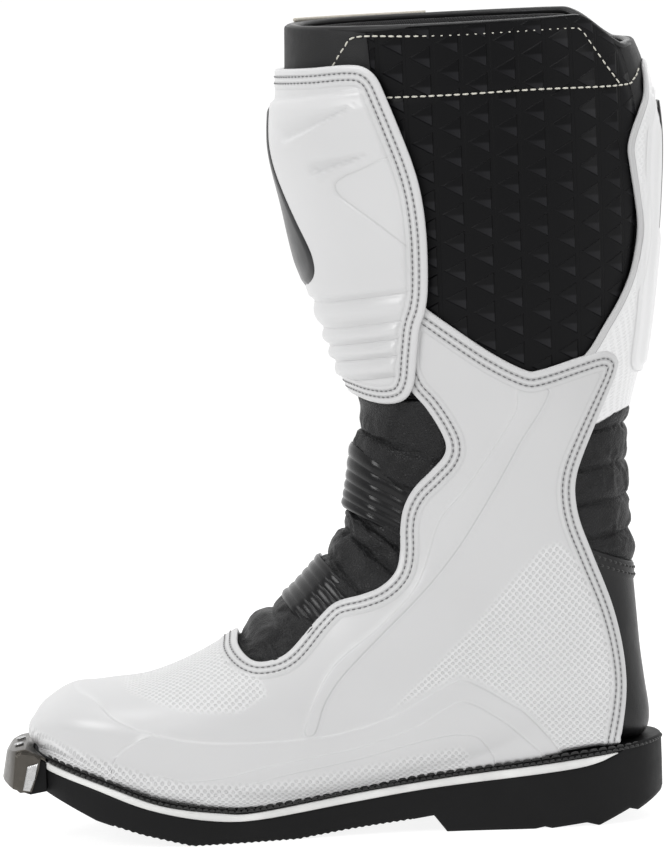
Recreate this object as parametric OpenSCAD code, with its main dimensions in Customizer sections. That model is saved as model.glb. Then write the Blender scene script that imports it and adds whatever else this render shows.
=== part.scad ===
// Motocross boot for the right foot: moulded shell, shin and calf plates, soft bellows at the
// ankle, and four lever buckles on the outer side. Toe towards -X, inner (medial) side towards -Y,
// sole on z = 0. All lengths in millimetres.

/* [Layers] */
// Thickness of the inner liner
liner_t = 2.7; // [2:0.1:3.2]
// Thickness of the black soft layer: bellows, pads and heel counter
soft_t = 1.9; // [1.2:0.1:2.1]
// Thickness of the moulded shells
shell_t = 1.9; // [1.4:0.1:2.1]
// Thickness of the shin plate
plate_t = 2.2; // [1.8:0.1:2.4]
// Air between two layers
layer_gap = 0.4; // [0.3:0.05:0.5]

/* [Sole] */
// Growth of the sole around the upper
sole_ledge = 0; // [-1:0.5:3]
// Depth of the tread grooves
tread_depth = 2.4; // [1:0.2:4]
// Width of the steel toe guard's wall
guard_t = 2.4; // [1.5:0.1:3]

/* [Buckles] */
// Width of the straps
strap_w = 24; // [20:1:28]
// Thickness of the straps
strap_t = 2; // [1.6:0.1:2.4]
// Length of a lever from its pin to its tip
lever_len = 38; // [34:1:42]
// Radius of the lever pins
pin_r = 1.5; // [1.2:0.1:1.8]
// Radial clearance of a lever on its pin
pin_play = 0.05; // [0.02:0.01:0.1]

/* [Hidden] */

// Layer offsets from the base surface. The soft layer is thinner where a hard one covers it.
liner_out = -0.7;
tucked = 0.7;
soft_in = layer_gap;
soft_out = soft_in + soft_t;
shell_in = soft_out + layer_gap;
shell_out = shell_in + shell_t;
plate_in = shell_out + layer_gap;
plate_out = plate_in + plate_t;
strap_in = plate_out + layer_gap;
strap_out = strap_in + strap_t;

// The upper's sections from toe tip to collar. Each is [front or top point x, z],
// [back or bottom point x, z], half width, roundness of the front half and of the back half.
SECTIONS = [
    [[-147, 54], [-147, 49.5], 10, 2.2, 3],
    [[-141, 61], [-141, 47.7], 26, 2.2, 4],
    [[-130, 67.5], [-130, 43.5], 38, 2.2, 5],
    [[-113, 69.5], [-112, 37], 46, 2.2, 5],
    [[-93, 72], [-88, 28.3], 50, 2.1, 5],
    [[-71, 80], [-60, 23], 51, 2.1, 5],
    [[-49, 92], [-25, 24], 49, 2.1, 5],
    [[-37, 100.5], [5, 28], 46, 2.1, 4.8],
    [[-23, 108], [35, 32], 43, 2.1, 4.5],
    [[-12, 118.5], [62, 34.6], 41, 2.1, 4.2],
    [[-3, 129], [88, 37.5], 39, 2.1, 3.9],
    [[4, 139], [112, 40.3], 37, 2.1, 3.6],
    [[7, 146], [130, 41.8], 36, 2.1, 3.2],
    [[8.5, 153], [140.5, 44.5], 35, 2.1, 2.8],
    [[10, 160], [141, 66], 34, 2.1, 2.5],
    [[11.5, 168], [139.5, 96], 34, 2.1, 2.3],
    [[13, 178], [137.5, 128], 35, 2.1, 2.2],
    [[15, 190], [135.5, 160], 37, 2.1, 2.2],
    [[17, 204], [136, 192], 41, 2.1, 2.2],
    [[8.6, 226], [143.5, 222], 46, 2.1, 2.2],
    [[-2, 260], [149, 256], 51, 2.1, 2.2],
    [[-12, 295], [153.5, 296], 55, 2.1, 2.2],
    [[-17, 328], [155, 332], 57, 2.1, 2.2],
    [[-15, 358], [150, 362], 58, 2.1, 2.2],
    [[-14, 385], [139, 387], 57, 2.1, 2.2]
];
LAST = len(SECTIONS) - 1;

// Edge lines of the panels, as seen from the side.
OPENING_EDGE = [
    [-60, 104], [-50, 98], [-49, 92], [-43, 86.5], [-36, 86.5], [-26, 90.5], [-12, 104],
    [-3, 111.5], [10, 115], [19, 118.5], [26, 125], [28.5, 134], [29, 145], [31, 155],
    [36, 164], [44, 172], [50.5, 179], [52, 185], [49, 193], [43, 203], [36, 212],
    [32, 225], [34, 245], [38, 270]
];
SHELL_REAR_EDGE = [
    [120, 20], [129, 36], [133, 52], [134.5, 68], [133, 86], [128.5, 106], [120, 129],
    [114.5, 144], [112.5, 160], [114, 169], [123.5, 191.5], [132.5, 210.5], [136, 220],
    [136, 240]
];
SHELL_TOP = [[0, 19.95], [0.1, 19.75], [0.35, 19.25], [0.6, 18.9], [0.85, 19.05], [1, 19.05]];
PLATE_EDGE = [
    [30, 190], [34, 205], [38, 218], [40, 235], [44, 246], [46, 262], [45.5, 282],
    [44, 303], [40, 320], [33, 340], [26, 357], [20, 368], [14, 380]
];
CALF_EDGE = [
    [95, 200], [117, 223], [128, 237], [140, 256], [146.5, 274], [147, 286], [143.5, 318],
    [144, 328], [150, 343], [149, 353], [145, 366], [141, 378]
];

// Heights of the sole's layers along the boot.
SOLE_BOTTOM = [
    [-151, 28], [-136, 21], [-120, 13], [-98, 6], [-75, 0], [-25, 0], [-2, 3], [26, 6],
    [40, 8], [46, 0], [92, 0], [113, 4], [132, 10], [148, 17.5], [153, 17]
];
OUTSOLE_TOP = [
    [-160, 41], [-123, 29], [-96, 18.5], [-68, 12], [-43, 10.8], [0, 16], [38, 21],
    [79, 25], [116, 29], [130, 30.6]
];
MIDSOLE_TOP = [
    [-160, 45], [-116, 30], [-89, 20], [-61, 15.2], [-43, 14.5], [5, 20.5], [49, 25.4],
    [94, 29.7], [130, 33.5], [160, 35.5]
];
WELT_TOP = [
    [-160, 49], [-116, 34], [-89, 24], [-61, 18.7], [-43, 17.8], [6, 24], [34, 28],
    [79, 32.2], [117, 36.5], [160, 38.5]
];
STRIPE_END = 130;

ORIGIN = [-0.1, -6.8];

// Outline of the sole from above.
SOLE_OUTLINE = [
    [-151, 0], [-148, -20], [-135, -38], [-112, -50], [-84, -54], [-55, -51], [-22, -44],
    [12, -39], [52, -38], [92, -40], [122, -37], [141, -26], [150, -10], [151, 4],
    [146, 20], [128, 35], [98, 41], [56, 41], [12, 43], [-22, 48], [-55, 55],
    [-84, 58], [-112, 54], [-135, 41], [-148, 21]
];

// Buckles from the instep up: section of the strap's middle line, then the angles where the
// strap starts, where it bends when it swings open, and where the lever's pin is.
BUCKLES = [
    [8.8, -37, 30, 57],
    [14.7, -44, 36, 62],
    [20, 60, 72, 98],
    [22, 56, 68, 94]
];

// The origin is under the middle of the whole boot, buckles and toe guard included.
module placed() {
    translate([ORIGIN[0], ORIGIN[1], 0])
        children();
}

function lerp(a, b, t) = a + (b - a) * t;
function unit(v) = v / norm(v);
function clamp(v, low, high) = max(low, min(high, v));
function bump(v) = clamp(1 - v * v, 0, 1);

// Smooth curve through values a, b, c, d between b and c.
function smooth(a, b, c, d, t) =
    b + 0.5 * t * ((c - a) + t * ((2 * a - 5 * b + 4 * c - d) + t * (3 * (b - c) + d - a)));

// Column k of SECTIONS at a fractional section u.
function section(u, k) =
    let (i = clamp(floor(u), 0, LAST - 1))
    smooth(SECTIONS[max(i - 1, 0)][k], SECTIONS[i][k], SECTIONS[i + 1][k],
        SECTIONS[min(i + 2, LAST)][k], u - i);

// The base surface, just outside the liner. Angle 0 is the front or top line, 90 the outer side.
function base(u, a) =
    let (
        front = section(u, 0),
        back = section(u, 1),
        n = section(u, cos(a) > 0 ? 3 : 4),
        r = 1 / pow(pow(abs(cos(a)), n) + pow(abs(sin(a)), n), 1 / n),
        middle = (front + back) / 2 + (front - back) / 2 * r * cos(a)
    )
    [middle[0], section(u, 2) * r * sin(a), middle[1]];

function outward(u, a) =
    let (
        u1 = clamp(u - 0.05, 0, LAST),
        u2 = clamp(u + 0.05, 0, LAST)
    )
    unit(cross(base(u2, a) - base(u1, a), base(u, a + 1) - base(u, a - 1)));

function skin(u, a, off) = base(u, a) + outward(u, a) * off;

// Share of the way from front to back at which section u crosses an edge line.
function cross2(a, b) = a[0] * b[1] - a[1] * b[0];
function crossings(line, u) =
    let (front = section(u, 0), dir = section(u, 1) - front)
    [
        for (i = [0:len(line) - 2])
            let (
                p = line[i] - front,
                q = line[i + 1] - front,
                cp = cross2(dir, p),
                cq = cross2(dir, q)
            )
            if (cp * cq <= 0 && cp != cq)
                let (hit = lerp(p, q, cp / (cp - cq)), share = hit * dir / (dir * dir))
                if (share > 0 && share < 1) share
    ];
function edge_angle(line, u, miss) =
    let (hits = crossings(line, u))
    len(hits) == 0 ? miss : share_angle(hits[0], u);
function share_angle(share, u) =
    let (
        c = 1 - 2 * share,
        n = section(u, c > 0 ? 3 : 4)
    )
    atan2(pow(1 - pow(abs(c), n), 1 / n), c);

// Angle at which the shell in section u comes down to the top of the welt.
function above_welt(u, a) =
    let (p = skin(u, a, shell_out))
    p[2] - lookup(p[0], WELT_TOP) - 0.6;
function welt_angle(u, low = 90, high = 180, steps = 9) =
    steps == 0 ? low
    : let (mid = (low + high) / 2)
      above_welt(u, mid) > 0 ? welt_angle(u, mid, high, steps - 1)
      : welt_angle(u, low, mid, steps - 1);

function shell_rear(u) = min(welt_angle(u), edge_angle(SHELL_REAR_EDGE, u, 180));
function shell_front(u) = edge_angle(OPENING_EDGE, max(u, QUARTER_START), 0);

// A closed solid between an outer and an inner grid of points. With wrap, the columns close
// into a tube; with tip, the first row is closed by flat caps.
module sheet(outer, inner, wrap = false, tip = false) {
    rows = len(outer);
    cols = len(outer[0]);
    total = rows * cols;
    span = wrap ? cols : cols - 1;
    points = concat([for (row = outer) each row], [for (row = inner) each row]);
    walls = [
        for (i = [0:rows - 2], j = [0:span - 1])
            let (
                a = i * cols + j,
                b = i * cols + (j + 1) % cols,
                c = b + cols,
                d = a + cols
            )
            each [[a, b, c], [a, c, d], [total + a, total + c, total + b],
                [total + a, total + d, total + c]]
    ];
    ends = [
        for (j = [0:span - 1])
            let (
                a = j,
                b = (j + 1) % cols,
                c = a + total - cols,
                d = b + total - cols
            )
            each [
                if (!tip) each [[a, total + a, b], [b, total + a, total + b]],
                each [[c, d, total + c], [d, total + d, total + c]]
            ]
    ];
    sides = wrap ? [] : [
        for (i = [0:rows - 2])
            let (
                a = i * cols,
                b = a + cols,
                c = a + cols - 1,
                d = b + cols - 1
            )
            each [[a, b, total + a], [b, total + b, total + a],
                [c, total + c, d], [d, total + c, total + d]]
    ];
    caps = tip ? [
        for (j = [1:cols - 2])
            each [[0, j + 1, j], [total, total + j, total + j + 1]]
    ] : [];
    polyhedron(points, concat(walls, ends, sides, caps), convexity = 8);
}

// A panel of the upper: rows over sections, columns over angles, both as functions.
module panel(rows, cols, u_of, a_of, low, high) {
    grid = [
        for (off = [high, low])
            [
                for (i = [0:rows])
                    [
                        for (j = [0:cols])
                            let (u = u_of(i / rows, j / cols))
                            skin(u, a_of(u, j / cols), is_num(off) ? off : off(u, j / cols))
                    ]
            ]
    ];
    sheet(grid[0], grid[1]);
}

function circle_cols(n) = [for (j = [0:n - 1]) j * 360 / n];

module liner(first, last, rows, tip = false) {
    grid = [
        for (off = [liner_out, liner_out - liner_t])
            [
                for (i = [0:rows])
                    [
                        for (a = circle_cols(36))
                            skin(lerp(first + (tip && off < liner_out ? 0.4 : 0), last, i / rows), a, off)
                    ]
            ]
    ];
    sheet(grid[0], grid[1], wrap = true, tip = tip);
}

module foot_liner() {
    placed() color("dimgray") liner(0, 14, 22, tip = true);
}

module ankle_liner() {
    placed() color("dimgray") liner(14.1, 18.2, 8);
}

module cuff_liner() {
    placed() color("dimgray") liner(18.3, LAST - 0.05, 8);
}

// The moulded shell. The opening's front edge runs across the vamp from section VAMP_END on
// the centre line to QUARTER_START at the angle where the opening's side edge takes over.
VAMP_END = 6.05;
QUARTER_START = 6.5;
function quarter_angle() = shell_front(QUARTER_START);

// Side panel from the opening back to the heel: side is -1 for the inner, 1 for the outer.
module quarter(side, first) {
    rows = 23;
    u_of = function(s, t)
        s < 0.99
            ? lerp(first, 18.2, s * rows / (rows - 1))
            : lookup(side < 0 ? 1 - t : t, SHELL_TOP);
    a_of = function(u, t)
        let (w = side < 0 ? 1 - t : t)
        side * lerp(shell_front(u), shell_rear(u), w);
    panel(rows, 14, u_of, a_of, shell_in, shell_out);
}

// Half of the toe and vamp. The last 14 of its 20 columns meet the quarter's columns.
module vamp_half(side) {
    opening = quarter_angle();
    fan = 0.3;
    way = function(t) side < 0 ? 1 - t : t;
    u_of = function(s, t)
        lerp(0, lerp(VAMP_END, QUARTER_START, pow(min(way(t) / fan, 1), 2)), s);
    a_of = function(u, t)
        let (w = way(t))
        side * (w <= fan ? opening * w / fan : lerp(opening, shell_rear(u), (w - fan) / (1 - fan)));
    panel(12, 20, u_of, a_of, shell_in, shell_out);
}

module foot_shell() {
    placed() color("whitesmoke") {
        quarter(-1, QUARTER_START);
        vamp_half(-1);
        vamp_half(1);
    }
}

module lateral_shell() {
    placed() color("whitesmoke") quarter(1, QUARTER_START + 0.06);
}

module heel_counter() {
    placed() color("black")
        panel(8, 20,
            function(s, t) lerp(12.75, 16.05, s),
            function(u, t) let (edge = edge_angle(SHELL_REAR_EDGE, u, 160) - 12)
                lerp(edge, 360 - edge, t),
            soft_in, soft_out - tucked);
}

module instep_bellows() {
    fold = function(u, t)
        let (free = clamp((u - 6.5) / 0.8, 0, 1))
        soft_out - tucked * (1 - free) + 2.6 * free * bump(2.6 * (t - 0.5)) * abs(sin((u - 6) * 100));
    placed() color("dimgray")
        panel(36, 12,
            function(s, t) lerp(5.8, 18.3, s),
            function(u, t) let (edge = shell_front(u) + 9) lerp(-edge, edge, t),
            soft_in, fold);
}

module achilles_bellows() {
    fold = function(u, t)
        soft_out + 1.8 * bump(2.6 * (t - 0.5)) * abs(sin((u - 16.1) * 420));
    placed() color("black")
        panel(18, 12,
            function(s, t) lerp(16.1, 18.25, s),
            function(u, t) let (edge = edge_angle(SHELL_REAR_EDGE, u, 140) - 10)
                lerp(edge, 360 - edge, t),
            soft_in, fold);
}

// The pads and gaiters round the shaft share their vertical seams at these angles.
FRONT_SEAM = 58;
FLAP_SEAM = 84;
REAR_SEAM = 152;
module shaft_panel(a1, a2, cols) {
    panel(7, cols,
        function(s, t) lerp(18.4, LAST, s),
        function(u, t) lerp(a1, a2, t),
        soft_in, function(u, t) soft_out - tucked * clamp(21 - u, 0, 1));
}

module front_gaiter() {
    placed() color("black") shaft_panel(-FRONT_SEAM, FLAP_SEAM, 16);
}

module medial_pad() {
    placed() color("dimgray") shaft_panel(-REAR_SEAM, -FRONT_SEAM - 0.6, 10);
}

module lateral_pad() {
    placed() color("dimgray") shaft_panel(FLAP_SEAM + 0.6, REAR_SEAM, 8);
}

module rear_gaiter() {
    placed() color("black") shaft_panel(REAR_SEAM + 0.6, 359.4 - REAR_SEAM, 8);
}

module shin_plate() {
    raised = function(u, t)
        plate_out
            + 0.9 * bump((u - 18.9) / 0.9) * bump(2.4 * (t - 0.5)) * abs(sin((u - 18) * 480));
    placed() color("whitesmoke")
        panel(20, 14,
            function(s, t) lerp(18.05, 23.2, s),
            function(u, t) let (edge = edge_angle(PLATE_EDGE, u, 60)) lerp(-edge, edge, t),
            plate_in, raised);
}

module shin_inlay() {
    placed() color("black")
        panel(8, 6,
            function(s, t) lerp(20.3, 22.4, s),
            function(u, t) lerp(-24, 24, t) * bump((u - 21.35) / 1.4),
            plate_out + layer_gap, plate_out + layer_gap + 1);
}

// Front edge of the calf plate. Below SHELL_CLEAR it stays behind the shells, and on the outer
// side it reaches further forward, above the shell, to carry the upper two catches.
SHELL_CLEAR = 19.15;
function calf_front(u) =
    u < SHELL_CLEAR ? edge_angle(SHELL_REAR_EDGE, u, 140) + 4 : edge_angle(CALF_EDGE, u, 150);
function calf_carrier(u) = lerp(calf_front(u), 84, clamp((u - SHELL_CLEAR) / 0.8, 0, 1));
module calf_plate() {
    low_rows = 4;
    rows = 18;
    ridge = function(u, t)
        let (a = lerp(calf_carrier(u), 360 - calf_front(u), t))
        shell_out + 2.4 * bump((a - 180) / 34) * bump((u - 21.2) / 2.6);
    placed() color("whitesmoke")
        panel(rows, 20,
            function(s, t)
                s * rows < low_rows - 0.5
                    ? lerp(18.35, SHELL_CLEAR - 0.02, s * rows / (low_rows - 1))
                    : lerp(SHELL_CLEAR + 0.02, 23.15, (s * rows - low_rows) / (rows - low_rows)),
            function(u, t) lerp(calf_carrier(u), 360 - calf_front(u), t),
            shell_in, ridge);
}

module calf_inlay() {
    placed() color("black")
        panel(6, 4,
            function(s, t) lerp(20.6, 22.3, s),
            function(u, t) lerp(172, 188, t),
            plate_out + layer_gap + 0.6, plate_out + layer_gap + 1.4);
}

module collar_binding() {
    rim_r = 1.6;
    rows = 6;
    grid = [
        for (i = [0:rows - 1])
            [
                for (a = circle_cols(36))
                    skin(LAST, a, -0.6 + rim_r * sin(i * 360 / rows))
                        + [0, 0, rim_r * (1 - cos(i * 360 / rows)) + 0.6 + rim_r * 0.3]
            ]
    ];
    points = [for (row = grid) each row];
    faces = [
        for (i = [0:rows - 1], j = [0:35])
            let (
                a = i * 36 + j,
                b = i * 36 + (j + 1) % 36,
                c = ((i + 1) % rows) * 36 + (j + 1) % 36,
                d = ((i + 1) % rows) * 36 + j
            )
            each [[a, b, c], [a, c, d]]
    ];
    placed() color("black") polyhedron(points, faces, convexity = 4);
}

// Smooth closed outline through the sole's points, moved outwards by grow.
function outline_at(i, t) =
    let (n = len(SOLE_OUTLINE))
    smooth(SOLE_OUTLINE[(i + n - 1) % n], SOLE_OUTLINE[i], SOLE_OUTLINE[(i + 1) % n],
        SOLE_OUTLINE[(i + 2) % n], t);
OUTLINE = [for (i = [0:len(SOLE_OUTLINE) - 1], t = [0, 1 / 3, 2 / 3]) outline_at(i, t)];
function grown(grow) =
    let (n = len(OUTLINE))
    [
        for (i = [0:n - 1])
            let (along = unit(OUTLINE[(i + 1) % n] - OUTLINE[(i + n - 1) % n]))
            OUTLINE[i] + grow * [along[1], -along[0]]
    ];

module plan(grow) {
    translate([0, 0, -5])
        linear_extrude(90)
            polygon(grown(grow));
}

// A layer of the sole between two height lines, cut to the plan outline.
module side_band(points, wide = 80) {
    translate([0, wide, 0])
        rotate([90, 0, 0])
            linear_extrude(2 * wide)
                polygon(points);
}
function reversed(line) = [for (i = [len(line) - 1:-1:0]) line[i]];
function lifted(line, dz) = [for (p = line) [p[0], p[1] + dz]];

module outsole() {
    welt_side = lookup(STRIPE_END, MIDSOLE_TOP) - 0.1;
    heel_end = [[160, 17], [160, 35.4], [STRIPE_END + 0.2, welt_side], [STRIPE_END + 0.2, 30.5]];
    placed() color("black")
        difference() {
            intersection() {
                side_band(concat(SOLE_BOTTOM, heel_end, reversed(lifted(OUTSOLE_TOP, -0.1)), [[-160, 32]]));
                plan(sole_ledge);
            }
            for (x = [-116:10:-26])
                translate([x, 0, lookup(x, SOLE_BOTTOM) - 4 + tread_depth])
                    cube([3, 130, 8], center = true);
            for (x = [56:12:116])
                translate([x, 0, lookup(x, SOLE_BOTTOM) - 4 + tread_depth])
                    cube([3, 100, 8], center = true);
        }
}

module midsole() {
    placed() color("white")
        intersection() {
            side_band(concat(OUTSOLE_TOP, [[STRIPE_END, lookup(STRIPE_END, MIDSOLE_TOP) - 0.1]],
                reversed([for (p = lifted(MIDSOLE_TOP, -0.1)) if (p[0] < STRIPE_END) p])));
            plan(sole_ledge - 0.6);
        }
}

module welt() {
    placed() color("black")
        intersection() {
            side_band(concat(MIDSOLE_TOP, reversed(WELT_TOP)));
            plan(sole_ledge - 1);
        }
}

GUARD_TOP = [[-168, 37], [-162, 47.5], [-154, 49.5], [-146, 44.5], [-140, 40]];
GUARD_BOTTOM = [[-140, 26], [-152, 24], [-158, 27], [-166, 31]];
module guard_block(top_drop, grow) {
    intersection() {
        side_band(concat(lifted(GUARD_TOP, -top_drop), GUARD_BOTTOM), 29);
        plan(sole_ledge + grow);
        translate([-180, -60, 0])
            cube([36, 120, 80]);
    }
}

module toe_bumper() {
    placed() color("black")
        difference() {
            guard_block(guard_t + 0.2, 13 - guard_t - 0.2);
            plan(sole_ledge + 0.3);
        }
}

module toe_guard() {
    placed() color("silver")
        difference() {
            guard_block(0, 13);
            translate([0, 0, -0.01])
                guard_block(guard_t, 13 - guard_t);
            plan(sole_ledge + 0.3);
            translate([0, 0, -40])
                guard_block(0, 13 - guard_t);
        }
}

module toe_guard_screws() {
    placed() color("silver")
        for (y = [-10, 10])
            translate([-157.5, y, 48.9])
                rotate([0, -14, 0])
                    cylinder(r = 2.4, h = 1.3, $fn = 24);
}

module board(low, high, grow, x1, x2) {
    intersection() {
        side_band(concat(lifted(WELT_TOP, low), reversed(lifted(WELT_TOP, high))));
        plan(sole_ledge + grow);
        translate([x1, -70, 0])
            cube([x2 - x1, 140, 90]);
    }
}

module insole_board() {
    placed() color("burlywood") board(0.2, 1.6, -25, -116, 116);
}

module shank() {
    placed() color("silver")
        intersection() {
            board(2, 3.2, -16, -50, 105);
            translate([-60, -13, 0])
                cube([180, 26, 60]);
        }
}

module footbed() {
    placed() color("darkgray") board(8.9, 11, -25, -104, 110);
}

// Half width of a strap as a share of sections, so that its width stays near strap_w.
function strap_span(u, a) =
    let (gap = norm(base(u + 0.2, a) - base(u - 0.2, a)) / 0.4)
    strap_w / 2 / gap;

// Height of a strap over the base: on the bellows for the first two, over the plates for all.
LIFT_FOOT = [[-60, 2.8], [-44, 2.8], [-30, 4.4], [0, 5.4], [16, 6.2], [28, strap_in]];
function strap_lift(i, a) = i < 2 ? lookup(a, LIFT_FOOT) : strap_in;

module strap_band(i, a1, a2, cols) {
    u0 = BUCKLES[i][0];
    grid = [
        for (off = [strap_t, 0])
            [
                for (s = [-1, -0.33, 0.33, 1])
                    [
                        for (j = [0:cols])
                            let (a = lerp(a1, a2, j / cols))
                            skin(u0 + s * strap_span(u0, a), a, strap_lift(i, a) + off)
                    ]
            ]
    ];
    sheet(grid[0], grid[1]);
}

bend_gap = 0.5;
module strap(i) {
    placed() color("black") strap_band(i, BUCKLES[i][1], BUCKLES[i][2] - bend_gap, 14);
}
module strap_1() { strap(0); }
module strap_2() { strap(1); }
module strap_3() { strap(2); }
module strap_4() { strap(3); }

module strap_end(i) {
    placed() color("black") strap_band(i, BUCKLES[i][2] + bend_gap, BUCKLES[i][3], 8);
}
module strap_end_1() { strap_end(0); }
module strap_end_2() { strap_end(1); }
module strap_end_3() { strap_end(2); }
module strap_end_4() { strap_end(3); }

// Local frame of a buckle: x along the strap, z outwards, origin on the shell under the pin. It
// faces the way the shell does a little further along, under the catch.
CATCH_TURN = 5;
module at_buckle(i) {
    u = BUCKLES[i][0];
    a = BUCKLES[i][3];
    spot = skin(u, a, shell_out);
    z = outward(u, a + CATCH_TURN);
    y = unit(cross(z, base(u, a + 2) - base(u, a - 2)));
    x = cross(y, z);
    multmatrix([
        [x[0], y[0], z[0], spot[0]],
        [x[1], y[1], z[1], spot[1]],
        [x[2], y[2], z[2], spot[2]]
    ])
        children();
}

// Heights over the shell of the strap's top and of the pin.
strap_z = strap_out - shell_out;
pin_z = strap_z + 4.6;
ear_y = 9;
ear_t = 1.6;
lever_w = 2 * ear_y - 0.6;

module bracket(i) {
    ear_side = [[-12, strap_z + 0.6], [-2, strap_z + 0.6], [3.2, pin_z - 1], [3.2, pin_z + 1.6],
        [1.4, pin_z + 3.2], [-2, pin_z + 3.2], [-12, strap_z + 2.4]];
    placed() color("silver")
        at_buckle(i)
            difference() {
                union() {
                    translate([-17, -ear_y - ear_t, strap_z + 0.5])
                        cube([15, 2 * (ear_y + ear_t), 1.4]);
                    for (side = [-1, 1])
                        translate([0, side * (ear_y + ear_t / 2), 0])
                            rotate([90, 0, 0])
                                linear_extrude(ear_t, center = true)
                                    polygon(ear_side);
                }
                translate([0, 0, pin_z])
                    rotate([90, 0, 0])
                        cylinder(r = pin_r, h = 60, center = true, $fn = 32);
            }
}
module bracket_1() { bracket(0); }
module bracket_2() { bracket(1); }
module bracket_3() { bracket(2); }
module bracket_4() { bracket(3); }

module lever_pin(i) {
    head_t = 1;
    placed() color("silver")
        at_buckle(i)
            translate([0, 0, pin_z])
                rotate([90, 0, 0]) {
                    cylinder(r = pin_r, h = 2 * (ear_y + ear_t) + 0.4, center = true, $fn = 32);
                    for (side = [-1, 1])
                        translate([0, 0, side * (ear_y + ear_t + 0.2 + head_t / 2)])
                            cylinder(r = pin_r + 1, h = head_t, center = true, $fn = 32);
                }
}
module lever_pin_1() { lever_pin(0); }
module lever_pin_2() { lever_pin(1); }
module lever_pin_3() { lever_pin(2); }
module lever_pin_4() { lever_pin(3); }

// Side outline of the lever: hub round the pin, arm over the catch, and a tip to lift.
bar_x = 20;
module lever_side() {
    polygon([[0, pin_z - 2.9], [bar_x - 2.2, pin_z - 3.2], [bar_x - 1.4, 2.9], [bar_x + 1.4, 2.9],
        [bar_x + 2.2, pin_z - 3.6], [lever_len - 6, pin_z - 5.6], [lever_len, pin_z - 4.2],
        [lever_len, pin_z - 2.6], [lever_len - 8, pin_z - 2.4], [bar_x, pin_z + 0.6],
        [8, pin_z + 2.9], [0, pin_z + 2.9]]);
    translate([0, pin_z])
        circle(r = 2.9, $fn = 32);
}

module lever(i) {
    placed() color("lightgray")
        at_buckle(i)
            difference() {
                rotate([90, 0, 0])
                    linear_extrude(lever_w, center = true)
                        lever_side();
                translate([0, 0, pin_z])
                    rotate([90, 0, 0])
                        cylinder(r = pin_r + pin_play, h = 60, center = true, $fn = 32);
                translate([4.5, -lever_w / 2 + 3, pin_z - 1.2])
                    cube([bar_x - 8, lever_w - 6, 12]);
            }
}
module lever_1() { lever(0); }
module lever_2() { lever(1); }
module lever_3() { lever(2); }
module lever_4() { lever(3); }

catch_w = 20;
module catch(i) {
    catch_side = [[7, 0.7], [18, 0.7], [33, -0.6], [33, 0.7], [bar_x + 4, 2.1], [bar_x - 2, 2.1],
        [bar_x - 2.2, 4.4], [bar_x - 5, 2.6], [bar_x - 5.2, 4.4], [bar_x - 8, 2.6], [7, 2.4]];
    placed() color("darkgray")
        at_buckle(i)
            difference() {
                rotate([90, 0, 0])
                    linear_extrude(catch_w, center = true)
                        polygon(catch_side);
                for (x = [9.2, 29.8])
                    translate([x, 0, -5])
                        cylinder(r = 1.6, h = 12, $fn = 24);
            }
}
module catch_1() { catch(0); }
module catch_2() { catch(1); }
module catch_3() { catch(2); }
module catch_4() { catch(3); }

module catch_rivets(i) {
    placed() color("silver")
        at_buckle(i)
            for (spot = [[9.2, 2.65], [29.8, 1.9]])
                translate([spot[0], 0, spot[1]]) {
                    cylinder(r = 2.8, h = 0.8, $fn = 24);
                    translate([0, 0, -1.6])
                        cylinder(r = 1.5, h = 1.7, $fn = 24);
                }
}
module catch_rivets_1() { catch_rivets(0); }
module catch_rivets_2() { catch_rivets(1); }
module catch_rivets_3() { catch_rivets(2); }
module catch_rivets_4() { catch_rivets(3); }

outsole();
midsole();
welt();
toe_bumper();
toe_guard();
toe_guard_screws();
shank();
insole_board();
footbed();
foot_liner();
ankle_liner();
cuff_liner();
foot_shell();
lateral_shell();
heel_counter();
instep_bellows();
achilles_bellows();
shin_plate();
shin_inlay();
calf_plate();
calf_inlay();
front_gaiter();
rear_gaiter();
medial_pad();
lateral_pad();
collar_binding();
strap_1();
strap_2();
strap_3();
strap_4();
strap_end_1();
strap_end_2();
strap_end_3();
strap_end_4();
bracket_1();
bracket_2();
bracket_3();
bracket_4();
lever_pin_1();
lever_pin_2();
lever_pin_3();
lever_pin_4();
lever_1();
lever_2();
lever_3();
lever_4();
catch_1();
catch_2();
catch_3();
catch_4();
catch_rivets_1();
catch_rivets_2();
catch_rivets_3();
catch_rivets_4();
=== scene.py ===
"""Looks of an off-road riding boot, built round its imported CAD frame.

Toe towards -X, inner side towards -Y, sole on z = 0. Shapes are worked out in millimetres on the
same base surface as the CAD, and a mesh is turned into metres in the row frame when it is made.
"""
import math

import bmesh
import bpy
import numpy as np
from mathutils import Matrix, Vector, kdtree


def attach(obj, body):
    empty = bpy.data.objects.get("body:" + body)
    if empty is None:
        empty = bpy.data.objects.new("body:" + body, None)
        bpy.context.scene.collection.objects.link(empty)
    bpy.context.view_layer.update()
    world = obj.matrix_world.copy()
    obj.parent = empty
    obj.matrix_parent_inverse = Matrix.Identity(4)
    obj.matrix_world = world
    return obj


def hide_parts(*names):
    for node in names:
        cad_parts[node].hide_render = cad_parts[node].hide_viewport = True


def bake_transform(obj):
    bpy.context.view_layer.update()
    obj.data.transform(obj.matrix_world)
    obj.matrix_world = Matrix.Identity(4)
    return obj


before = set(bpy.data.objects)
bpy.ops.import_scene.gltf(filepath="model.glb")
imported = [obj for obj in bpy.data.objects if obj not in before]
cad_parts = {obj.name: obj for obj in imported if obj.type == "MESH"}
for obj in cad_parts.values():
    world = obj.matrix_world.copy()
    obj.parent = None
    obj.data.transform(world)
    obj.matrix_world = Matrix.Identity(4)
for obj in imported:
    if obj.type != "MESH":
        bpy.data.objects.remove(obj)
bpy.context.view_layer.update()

# ---------------------------------------------------------------- base surface, as in the CAD

ORIGIN = np.array([-0.1, -6.8, 0])

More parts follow.
